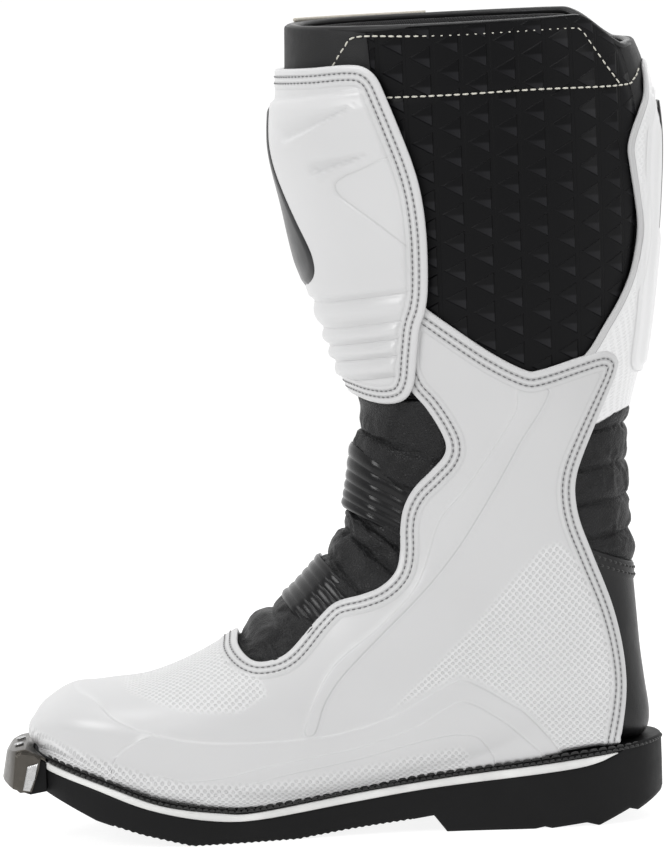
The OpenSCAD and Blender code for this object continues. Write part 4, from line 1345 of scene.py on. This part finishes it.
def inflated_grid(u, a, free, swell, off):
    """A cloth over the base surface, blown up by pressure where free is 1 and held where it is 0."""
    n = outward(u, a)
    start = skin(u, a, off + 0.86 * swell * free)
    rows, cols = u.shape
    cloth = make_mesh("cloth_draft", start.reshape(-1, 3), grid_faces(rows, cols)[:, ::-1], MAT["bellows"])
    group = cloth.vertex_groups.new(name="pin")
    border = np.ones(u.shape, bool)
    border[1:-1, 1:-1] = False
    held = np.nonzero(((free < 0.1) | border).ravel())[0]
    group.add([int(i) for i in held], 1.0, "REPLACE")
    change = cloth.modifiers.new("cloth", "CLOTH")
    change.settings.quality = 5
    change.settings.mass = 0.25
    change.settings.use_pressure = True
    change.settings.uniform_pressure_force = 4
    change.settings.shrink_min = -0.03
    change.settings.vertex_group_mass = "pin"
    change.settings.effector_weights.gravity = 0
    scene = bpy.context.scene
    for moment in range(1, 21):
        scene.frame_set(moment)
    solved = cloth.evaluated_get(bpy.context.evaluated_depsgraph_get()).to_mesh()
    points = np.empty(rows * cols * 3, np.float32)
    solved.vertices.foreach_get("co", points)
    move = (points.reshape(-1, 3) - row(start.reshape(-1, 3))).reshape(rows, cols, 3) * 1000
    scene.frame_set(1)
    bpy.data.objects.remove(cloth, do_unlink=True)
    out = (move * n).sum(-1)
    slide = move - out[..., None] * n
    size = np.linalg.norm(slide, axis=-1, keepdims=True)
    rise = np.clip(out, -0.12 * swell, 0.24 * swell)
    return start + n * rise[..., None] + slide * np.minimum(1, 0.6 / np.maximum(size, 1e-6))


# Creases of the instep bellows: section on the centre line and how far the crease drops at the sides.
INSTEP_CREASES = [7.35, 9.95, 11.35, 12.9, 17.05]


def shell_angle(u, margin):
    """Angle in section u at which the shell reaches margin millimetres past its front edge."""
    a = np.arange(8, 120.1, 1.0)
    p = skin(np.full(len(a), float(u)), a, np.full(len(a), SHELL_OUT))
    hit = np.nonzero(side_cut(SHELL_OUTLINE, p) > margin)[0]
    return a[hit[0]] if len(hit) else 62.0


# Each strap's section, the angles at which it starts and its last part swings, and the lever pin's.
BUCKLES = [(8.8, -37, 30, 57), (14.7, -44, 36, 62), (20, 60, 72, 98), (22, 56, 68, 94)]


def build_instep_bellows():
    """Soft folds over the instep, pressed flat under the straps, and a plain tongue above them."""
    us = np.linspace(5.85, 18.25, 230)
    shares = np.linspace(-1, 1, 84)
    edge = np.array([shell_angle(max(u, 6.5), 4.5) for u in us])
    edge = np.convolve(np.pad(edge, 3, mode="edge"), np.ones(7) / 7, mode="valid")
    grid_u = np.broadcast_to(us[:, None], (len(us), len(shares)))
    grid_a = edge[:, None] * shares[None, :]
    shift = 0.35 * np.abs(shares)[None, :] * np.clip((grid_u - 8) / 8, 0, 1)
    d = np.min([np.abs(grid_u + shift - c) for c in INSTEP_CREASES], 0)
    near = np.clip(d / 0.62, 0, 1)
    free = np.sqrt(np.clip(1 - (1 - near) ** 2, 0, 1))
    free = free * ramp(0, 0.1, 1 - np.abs(shares))[None, :] * ramp(5.9, 6.9, grid_u)
    tongue = ramp(16.9, 17.3, grid_u)
    free = free * (1 - 0.25 * tongue)
    under = np.zeros_like(free)
    for buckle, reach in zip(BUCKLES[:2], (0.62, 0.95)):
        under = np.maximum(under, ramp(reach * 1.25, reach * 0.8, np.abs(grid_u - buckle[0])))
    free = free * (1 - 0.72 * under)
    lumps = wrinkles(grid_u * 11, grid_a * 0.9, 7, [(16, 0.35), (7, 0.16)]) * free * (1 - tongue)
    outer = inflated_grid(grid_u, grid_a, free, 3.9, SOFT_OUT - 0.9)
    outer = outer + outward(grid_u, grid_a) * lumps[..., None]
    inner = skin(grid_u, grid_a, np.full(grid_u.shape, SOFT_IN))
    piece = closed_sheet("instep_bellows_leather", outer, inner, MAT["bellows"])
    settle(piece, ANKLE, "bellows_leather", "instep_bellows")

# ---------------------------------------------------------------- the sole

# Outline of the sole from above, and heights of its layers along the boot.
SOLE_OUTLINE = smooth_line([
    (-151, 0), (-148, -20), (-135, -38), (-112, -50), (-84, -54), (-55, -51), (-22, -44), (12, -39), (52, -38),
    (92, -40), (122, -37), (141, -26), (150, -10), (151, 4), (146, 20), (128, 35), (98, 41), (56, 41), (12, 43),
    (-22, 48), (-55, 55), (-84, 58), (-112, 54), (-135, 41), (-148, 21),
], closed=True)
SOLE_BOTTOM = np.array([
    (-151, 28), (-136, 21), (-120, 13), (-98, 6), (-75, 0), (-25, 0), (-2, 3), (26, 6), (40, 8), (46, 0),
    (88, 0), (92.5, 0.9), (96, 0), (112.5, 1.9), (118.5, 0.2), (133.5, 6.9), (137.5, 5.6), (151, 12.3), (153, 13),
])
OUTSOLE_TOP = smooth_line([
    (-160, 41), (-123, 29), (-96, 18.5), (-68, 12), (-43, 10.8), (0, 16), (38, 21), (79, 25), (106, 27.8),
    (118, 30), (126, 33), (131, 36), (138, 38), (146, 38.9), (160, 39.2),
])
STRIPE_TOP = smooth_line([
    (-160, 45), (-116, 30), (-89, 20), (-61, 15.1), (-43, 14.4), (5, 20.7), (49, 26.2), (94, 30.8), (130, 34.7),
    (160, 37),
])
# Where the white stripe ends at the heel.
STRIPE_END = 128.5


def slab(name, inset, bottom, top, profile, material, x_range=(-170, 170), step=1.5):
    """A layer of the sole. bottom and top give heights at x, y and distance from the side; profile
    gives (share of the height, how far the side wall stands out)."""
    xs = np.arange(max(x_range[0], -153), min(x_range[1], 153) + 0.01, step)
    ys = np.arange(-60, 60.1, 2.0)
    gx, gy = np.meshgrid(xs, ys, indexing="ij")
    side = inside_distance(SOLE_OUTLINE, gx, gy) - inset
    x, y, tri = cut_grid(xs, ys, side)
    edges = border_edges(tri)
    ids = np.unique(edges)
    depth = np.maximum(inside_distance(SOLE_OUTLINE, x, y) - inset, 0)
    low, high = bottom(x, y, depth), top(x, y, depth)
    along = np.stack([x, y], 1)[edges[:, 1]] - np.stack([x, y], 1)[edges[:, 0]]
    out = np.zeros((len(x), 2))
    for k in (0, 1):
        np.add.at(out, edges[:, k], unit(np.stack([along[:, 1], -along[:, 0]], 1)))
    out = unit(out)[ids]
    slot = np.full(len(x), -1)
    slot[ids] = np.arange(len(ids))
    upper = np.stack([x, y, high], 1)
    lower = np.stack([x, y, low], 1)
    rings = []
    for share, stand in profile:
        z = high[ids] + (low[ids] - high[ids]) * share
        rings.append(np.column_stack([x[ids] + out[:, 0] * stand, y[ids] + out[:, 1] * stand, z]))
    n = len(x)
    e = [slot[edges[:, k]] for k in (0, 1)]
    starts = [edges] + [np.stack(e, 1) + 2 * n + k * len(ids) for k in range(len(rings))] + [edges + n]
    faces = [tri, tri[:, ::-1] + n]
    for hi, lo in zip(starts, starts[1:]):
        faces.append(np.stack([hi[:, 1], hi[:, 0], lo[:, 0], lo[:, 1]], 1))
    return make_mesh(name, np.concatenate([upper, lower] + rings), faces, MAT[material])


def tread(x, y, depth):
    """Heights of the outsole's underside: cross grooves, a fine serrated edge, a plain heel step."""
    low = level(SOLE_BOTTOM, x)
    front = (x > -118) & (x < -22)
    heel = (x > 54) & (x < 124)
    groove = np.where(front, ramp(0.62, 0.9, np.sin((x + 116) * 2 * math.pi / 10)), 0)
    groove = np.maximum(groove, np.where(heel, ramp(0.75, 0.95, np.sin((x - 56) * 2 * math.pi / 12)), 0))
    inner = ramp(3.0, 5.0, depth)
    teeth = np.where((x > -112) & (x < 30), 0.55 * (0.5 + 0.5 * np.sin(x * 2 * math.pi / 3.3)), 0)
    return low + 2.2 * groove * inner + teeth * ramp(6, 2.5, depth)


def build_sole():
    def over(line, gap=0.0):
        return lambda x, y, depth: level(line, x) - gap

    wall = [(0.0, 0.55), (0.04, 0.95), (0.12, 1.0), (0.5, 1.0), (0.93, 0.85), (1.0, 0.35)]
    out = slab("outsole_rubber", 1.0, tread, over(OUTSOLE_TOP, 0.1), wall, "rubber", step=0.8)
    settle(out, "foot", "black_rubber", "outsole")
    bulge = [(0.0, 0.9), (0.1, 1.35), (0.5, 1.6), (0.9, 1.35), (1.0, 0.9)]
    stripe = slab("midsole_stripe", 1.3, over(OUTSOLE_TOP), over(STRIPE_TOP, 0.1), bulge, "stripe",
                  (-170, STRIPE_END))
    settle(stripe, "foot", "white_rubber", "midsole")

    def welt_top(x, y, depth):
        return level(WELT_TOP, x) - 0.9 * ramp(2.5, 0, depth)

    cord = [(0.0, 0.6), (0.25, 1.3), (0.5, 1.1), (0.8, 1.3), (1.0, 0.6)]
    welt = slab("welt_rubber", 1.7, over(STRIPE_TOP), welt_top, cord, "welt")
    settle(welt, "foot", "black_welt", "welt")
    inner = SOLE_OUTLINE[::2]
    centre = inner.mean(0)
    ring = inner + unit(centre - inner) * 1.7
    ring = np.concatenate([ring, ring[:1]])
    path = np.column_stack([ring, level(WELT_TOP, ring[:, 0]) - 0.15])
    up = np.tile([0.0, 0, 1], (len(path), 1))
    seams = stitch_rows("welt_stitching", [(path, up)], MAT["black_thread"], pitch=4.6, length=4.1, radius=0.85,
                        keep=lambda p: p[:, 0] > -143)
    settle(seams, "foot", "black_welt")
    lower = path.copy()
    lower[:, :2] = ring - unit(centre - ring) * 1.6
    lower[:, 2] = level(STRIPE_TOP, ring[:, 0]) + 1.2
    seams = stitch_rows("welt_cord", [(lower, up)], MAT["black_thread"], pitch=3.1, length=2.9, radius=0.75,
                        keep=lambda p: p[:, 0] > -143)
    settle(seams, "foot", "black_welt")

    def on_welt(rise):
        return lambda x, y, depth: level(WELT_TOP, x) + rise - 1.2 * ramp(6, 0, depth) * (rise > 10)

    soft = [(0.0, 0.0), (0.3, 0.8), (0.7, 0.8), (1.0, 0.0)]
    bed = slab("footbed_cushion", 26, on_welt(8.9), on_welt(10.9), soft, "lining", (-104, 110), 2.0)
    settle(bed, "foot", "footbed_foam", "footbed")


# ---------------------------------------------------------------- hard parts taken from the CAD


def repaint(node, material):
    """A CAD node whose shape is right keeps it and gets a better material."""
    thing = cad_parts[node]
    for slot in thing.material_slots:
        slot.material = MAT[material]


def lean(mesh):
    """Draws the guard's top down a little and its foot forward."""
    for vertex in mesh.vertices:
        x, _, z = np.array(vertex.co) * 1000 - ORIGIN
        vertex.co.x -= 2.4 * ramp(46, 30, z) * ramp(-152, -158, x) / 1000
        vertex.co.z -= 0.26 * max(z - 36, 0) / 1000


# Edges sharper than the first angle are rounded, and shading breaks at those sharper than the second.
ROUNDED_FROM = 35
SHARP_FROM = 38


def bevelled(node, body, slot, material, width, shape=None):
    """A copy of a CAD part with rounded edges, changed first by shape where it is given."""
    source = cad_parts[node]
    mesh = source.data.copy()
    mesh.transform(source.matrix_world)
    if shape:
        shape(mesh)
    work = bmesh.new()
    work.from_mesh(mesh)
    bmesh.ops.remove_doubles(work, verts=work.verts, dist=1e-6)
    bmesh.ops.dissolve_limit(work, angle_limit=math.radians(1), verts=work.verts, edges=work.edges)
    limit = math.radians(ROUNDED_FROM)
    edges = [e for e in work.edges if len(e.link_faces) == 2 and e.calc_face_angle(0) > limit]
    bmesh.ops.bevel(work, geom=edges, offset=width / 1000, segments=3, profile=0.5, affect="EDGES",
                    clamp_overlap=True)
    for face in work.faces:
        face.smooth = True
    bmesh.ops.triangulate(work, faces=[f for f in work.faces if len(f.verts) > 4])
    work.to_mesh(mesh)
    work.free()
    mesh.materials.clear()
    mesh.materials.append(MAT[material])
    mesh.set_sharp_from_angle(angle=math.radians(SHARP_FROM))
    piece = bpy.data.objects.new(node + "_rounded", mesh)
    bpy.context.scene.collection.objects.link(piece)
    settle(piece, body, slot, node)


# The guard's side plate and the brighter strip on it, seen from the side.
CHEEK = [(-160, 28), (-158.5, 43), (-156, 45), (-149, 44), (-146.5, 41.5), (-147.5, 36), (-151.4, 25.4),
         (-157, 25.2)]
CHEEK_STRIP = [(-155.4, 26.6), (-152.8, 38), (-147.6, 39.2), (-149.2, 32), (-152.2, 26)]


def add_cheeks():
    """The guard's folded ends, one plate on each side of the rubber."""
    plates = [(side, CHEEK, 28.6, "steel", "plate") for side in (-1, 1)]
    plates += [(side, CHEEK_STRIP, 30.0, "bright_steel", "strip") for side in (-1, 1)]
    for side, corners, height, material, kind in plates:
        outline = np.array(corners)
        inner = outline.mean(0) + (outline - outline.mean(0)) * 0.86
        layers = [(outline, height), (outline, height + 1.4), (inner, height + 1.8)]
        points = np.concatenate([np.column_stack([o[:, 0], np.full(len(o), side * y), o[:, 1]])
                                 for o, y in layers])
        count = len(outline)
        caps = [np.arange(count)[None, ::-1], np.arange(2 * count, 3 * count)[None]]
        faces = [grid_faces(3, count, wrap=True)[:, ::-1]] + caps
        if side < 0:
            faces = [f[:, ::-1] for f in faces]
        name = "toe_guard_%s_%s" % (kind, "inner" if side < 0 else "outer")
        piece = make_mesh(name, points, faces, MAT[material])
        for polygon in piece.data.polygons:
            polygon.use_smooth = False
        settle(piece, "foot", "toe_steel")


def build_hard_parts():
    bevelled("toe_bumper", "foot", "black_rubber", "rubber", 0.6, shape=lean)
    bevelled("toe_guard", "foot", "toe_steel", "steel", 0.8, shape=lean)
    add_cheeks()
    bevelled("toe_guard_screws", "foot", "toe_steel", "bright_steel", 0.35, shape=lean)
    repaint("shank", "bright_steel")
    repaint("insole_board", "board")
    for i in (1, 2, 3, 4):
        carrier = "foot" if i < 3 else "shaft"
        end, lever = "strap_end_%d" % i, "lever_%d" % i
        bevelled("bracket_%d" % i, end, "buckle_metal", "cast", 0.3)
        bevelled("lever_pin_%d" % i, end, "pin_steel", "bright_steel", 0.25)
        bevelled("lever_%d" % i, lever, "lever_plastic", "lever", 0.55)
        bevelled("catch_%d" % i, carrier, "catch_plastic", "catch", 0.35)
        bevelled("catch_rivets_%d" % i, carrier, "pin_steel", "bright_steel", 0.3)

# ---------------------------------------------------------------- straps

# Offset of the instep straps' inner face at some angles: low over the bellows, high over the shell.
LIFT_FOOT = np.array([(-60, 2.8), (-44, 2.8), (-30, 4.4), (0, 5.4), (16, 6.2), (28, STRAP_IN)])
STRAP_RIBS = 6
STRAP_THICK = STRAP_OUT - STRAP_IN


def strap_lift(i, a):
    """Offset of strap i's inner face from the base surface."""
    return np.interp(a, LIFT_FOOT[:, 0], LIFT_FOOT[:, 1]) if i < 2 else np.full(np.shape(a), STRAP_IN)


def build_strap(i):
    """A moulded strap with raised ribs, from its sewn end to the buckle's bracket."""
    u0, first, bend, last = BUCKLES[i]
    if i < 2:
        first = -shell_angle(u0, 5)
    angles = np.arange(first, last + 0.01, 0.75)
    wide = np.linspace(-1, 1, 61)
    w, a = np.meshgrid(wide, angles, indexing="ij")
    gap = np.linalg.norm(base(u0 + 0.2, angles) - base(u0 - 0.2, angles), axis=1) / 0.4
    span = (STRAP_W / 2 / gap * (1 + (0.24 if i < 2 else 0) * ramp(bend - 2, bend - 20, angles)))[None, :]
    ends = ramp(0, 1.5, np.minimum(a - first, last - a))
    rib = np.abs(np.sin((w * 0.5 + 0.5) * math.pi * STRAP_RIBS)) ** 0.7
    reach = ramp(first + 3, first + 7, a) * ramp(last - 4, last - 8, a)
    edge = np.sqrt(np.clip(1 - np.clip((np.abs(w) - 0.94) / 0.06, 0, 1) ** 2, 0, 1))
    body = 1.35 + 0.65 * rib * reach * ramp(0.98, 0.9, np.abs(w))
    lift = strap_lift(i, a)
    if i < 2:
        tucked = first + 7
        lift = 1.5 + (lift - 1.5) * ramp(tucked, tucked + 16, a)
    middle = STRAP_THICK / 2
    top = lift + middle + (body - middle) * edge * (0.4 + 0.6 * ends)
    low = lift + middle - middle * edge * (0.4 + 0.6 * ends)
    outer = skin(u0 + w * span, a, top)
    inner = skin(u0 + w * span, a, low)
    piece = closed_sheet("strap_band_%d" % (i + 1), outer, inner, MAT["strap"])
    carrier = "foot" if i < 2 else "shaft"
    before = skin(np.array(float(u0)), np.array(bend - 4.0), strap_lift(i, np.array(bend - 4.0)))
    after = skin(np.array(float(u0)), np.array(bend + 4.0), strap_lift(i, np.array(bend + 4.0)))
    turning = (carrier, "strap_end_%d" % (i + 1), spot(*before), spot(*after))
    settle(piece, turning, "strap_plastic", "strap_%d" % (i + 1), "strap_end_%d" % (i + 1))


# ---------------------------------------------------------------- inlays


def build_inlays():
    """A plain dark drop on the shin plate and a plain dark bar on the calf plate."""
    def drop(u, a, outer):
        t = np.clip((346 - outer[..., 2]) / 84, 0, 1)
        half = 2 + 40 * t ** 1.7 * np.sqrt(1 - t ** 6)
        from_edge = np.minimum((half - np.abs(a)) * 0.9, np.minimum(346 - outer[..., 2], outer[..., 2] - 262))
        return from_edge, np.full(u.shape, FAR)

    def on_plate(rim, u, a, p):
        return plate_relief(np.full(len(u), FAR), u, a, p) - 0.45 * ramp(1.6, 0, rim)

    us, angles = np.arange(19.8, 23.2, 0.03), np.arange(-52, 52.1, 1.0)
    sheet = Sheet(us, angles, drop, PLATE_OUT - 0.3, PLATE_OUT + 0.9, on_plate)
    piece = sheet_object("shin_inlay_mark", sheet, MAT["inlay"])
    settle(piece, "shaft", "black_inlay", "shin_inlay")

    def bar(u, a, outer):
        u_mm = np.minimum(u - 20.62, 22.32 - u) * 35
        return np.minimum(u_mm, (8.6 - np.abs(a - 180)) * 1.4), np.full(u.shape, FAR)

    us, angles = np.arange(20.5, 22.45, 0.04), np.arange(168, 192.1, 1.0)
    sheet = Sheet(us, angles, bar, SHELL_OUT + 1.0, SHELL_OUT + 2.0)
    piece = sheet_object("calf_inlay_bar", sheet, MAT["inlay"])
    settle(piece, "shaft", "black_inlay", "calf_inlay")

# ---------------------------------------------------------------- camera, lights and floor

TARGET = Vector(spot(0, 0, 193.7))
DISTANCE = 2.6
ELEVATION = math.radians(5)
ROLL = math.radians(2.2)
LENS = 230.2


def build_camera():
    """A long lens on the inner side, a little above the middle of the boot and slightly rolled."""
    data = bpy.data.cameras.new("camera")
    data.sensor_fit = "VERTICAL"
    data.sensor_height = 36
    data.lens = LENS
    camera = bpy.data.objects.new("camera", data)
    back = Vector((0, -math.cos(ELEVATION), math.sin(ELEVATION)))
    across, up = Vector((1, 0, 0)), Vector((0, math.sin(ELEVATION), math.cos(ELEVATION)))
    right = across * math.cos(ROLL) - up * math.sin(ROLL)
    top = across * math.sin(ROLL) + up * math.cos(ROLL)
    turn = Matrix((right, top, back)).transposed().to_4x4()
    camera.matrix_world = Matrix.Translation(TARGET + back * DISTANCE) @ turn
    bpy.context.scene.collection.objects.link(camera)
    bpy.context.scene.camera = camera


def softbox(name, place, aim, size, power):
    """A rectangular lamp at place, turned towards aim."""
    data = bpy.data.lights.new(name, "AREA")
    data.shape = "RECTANGLE"
    data.size, data.size_y = size
    data.energy = power
    lamp = bpy.data.objects.new(name, data)
    lamp.location = place
    lamp.rotation_euler = (Vector(aim) - Vector(place)).to_track_quat("-Z", "Y").to_euler()
    bpy.context.scene.collection.objects.link(lamp)


def build_studio():
    """A pale world, darker behind the camera than behind the boot, four soft lamps and a pale floor."""
    world = bpy.data.worlds.new("studio")
    world.use_nodes = True
    world.node_tree.nodes["Background"].inputs["Color"].default_value = (1, 1, 1, 1)
    tree = world.node_tree
    place = tree.nodes.new("ShaderNodeTexCoord")
    split = tree.nodes.new("ShaderNodeSeparateXYZ")
    fade = tree.nodes.new("ShaderNodeMapRange")
    fade.interpolation_type = "SMOOTHSTEP"
    fade.inputs["From Min"].default_value = -0.35
    fade.inputs["From Max"].default_value = 0.45
    fade.inputs["To Min"].default_value = 0.5
    fade.inputs["To Max"].default_value = 1.05
    tree.links.new(place.outputs["Generated"], split.inputs[0])
    tree.links.new(split.outputs["Y"], fade.inputs["Value"])
    tree.links.new(fade.outputs["Result"], tree.nodes["Background"].inputs["Strength"])
    bpy.context.scene.world = world
    softbox("key_left", (-1.5, -1.5, 1.5), (0, 0, 0.2), (1.0, 1.0), 27)
    softbox("fill_right", (1.6, -1.1, 0.7), (0, 0, 0.2), (0.6, 1.4), 7.5)
    softbox("top", (0, -0.2, 1.9), (0, 0, 0.2), (1.2, 0.9), 12)
    softbox("back", (0.6, 1.7, 1.0), (0, 0, 0.2), (1.4, 1.2), 4)
    floor = bpy.data.meshes.new("floor")
    half = 1.6
    corners = [(-half, -half, 0), (half, -half, 0), (half, half, 0), (-half, half, 0)]
    floor.from_pydata(corners, [], [(0, 1, 2, 3)])
    pale = Shader("floor_pale", (0.25, 0.25, 0.25), 0.8, Emission_Color=(1, 1, 1, 1), Emission_Strength=0.88)
    floor.materials.append(pale.material)
    thing = bpy.data.objects.new("floor", floor)
    bpy.context.scene.collection.objects.link(thing)
    bpy.context.scene.view_settings.view_transform = "Standard"

build_camera()
build_studio()
build_foot_shell()
build_lateral_shell()
build_shin_plate()
build_calf_plate()
build_shaft_covers()
build_collar()
build_linings()
build_heel_counter()
build_achilles_bellows()
build_instep_bellows()
build_sole()
build_hard_parts()
for number in range(4):
    build_strap(number)
build_inlays()
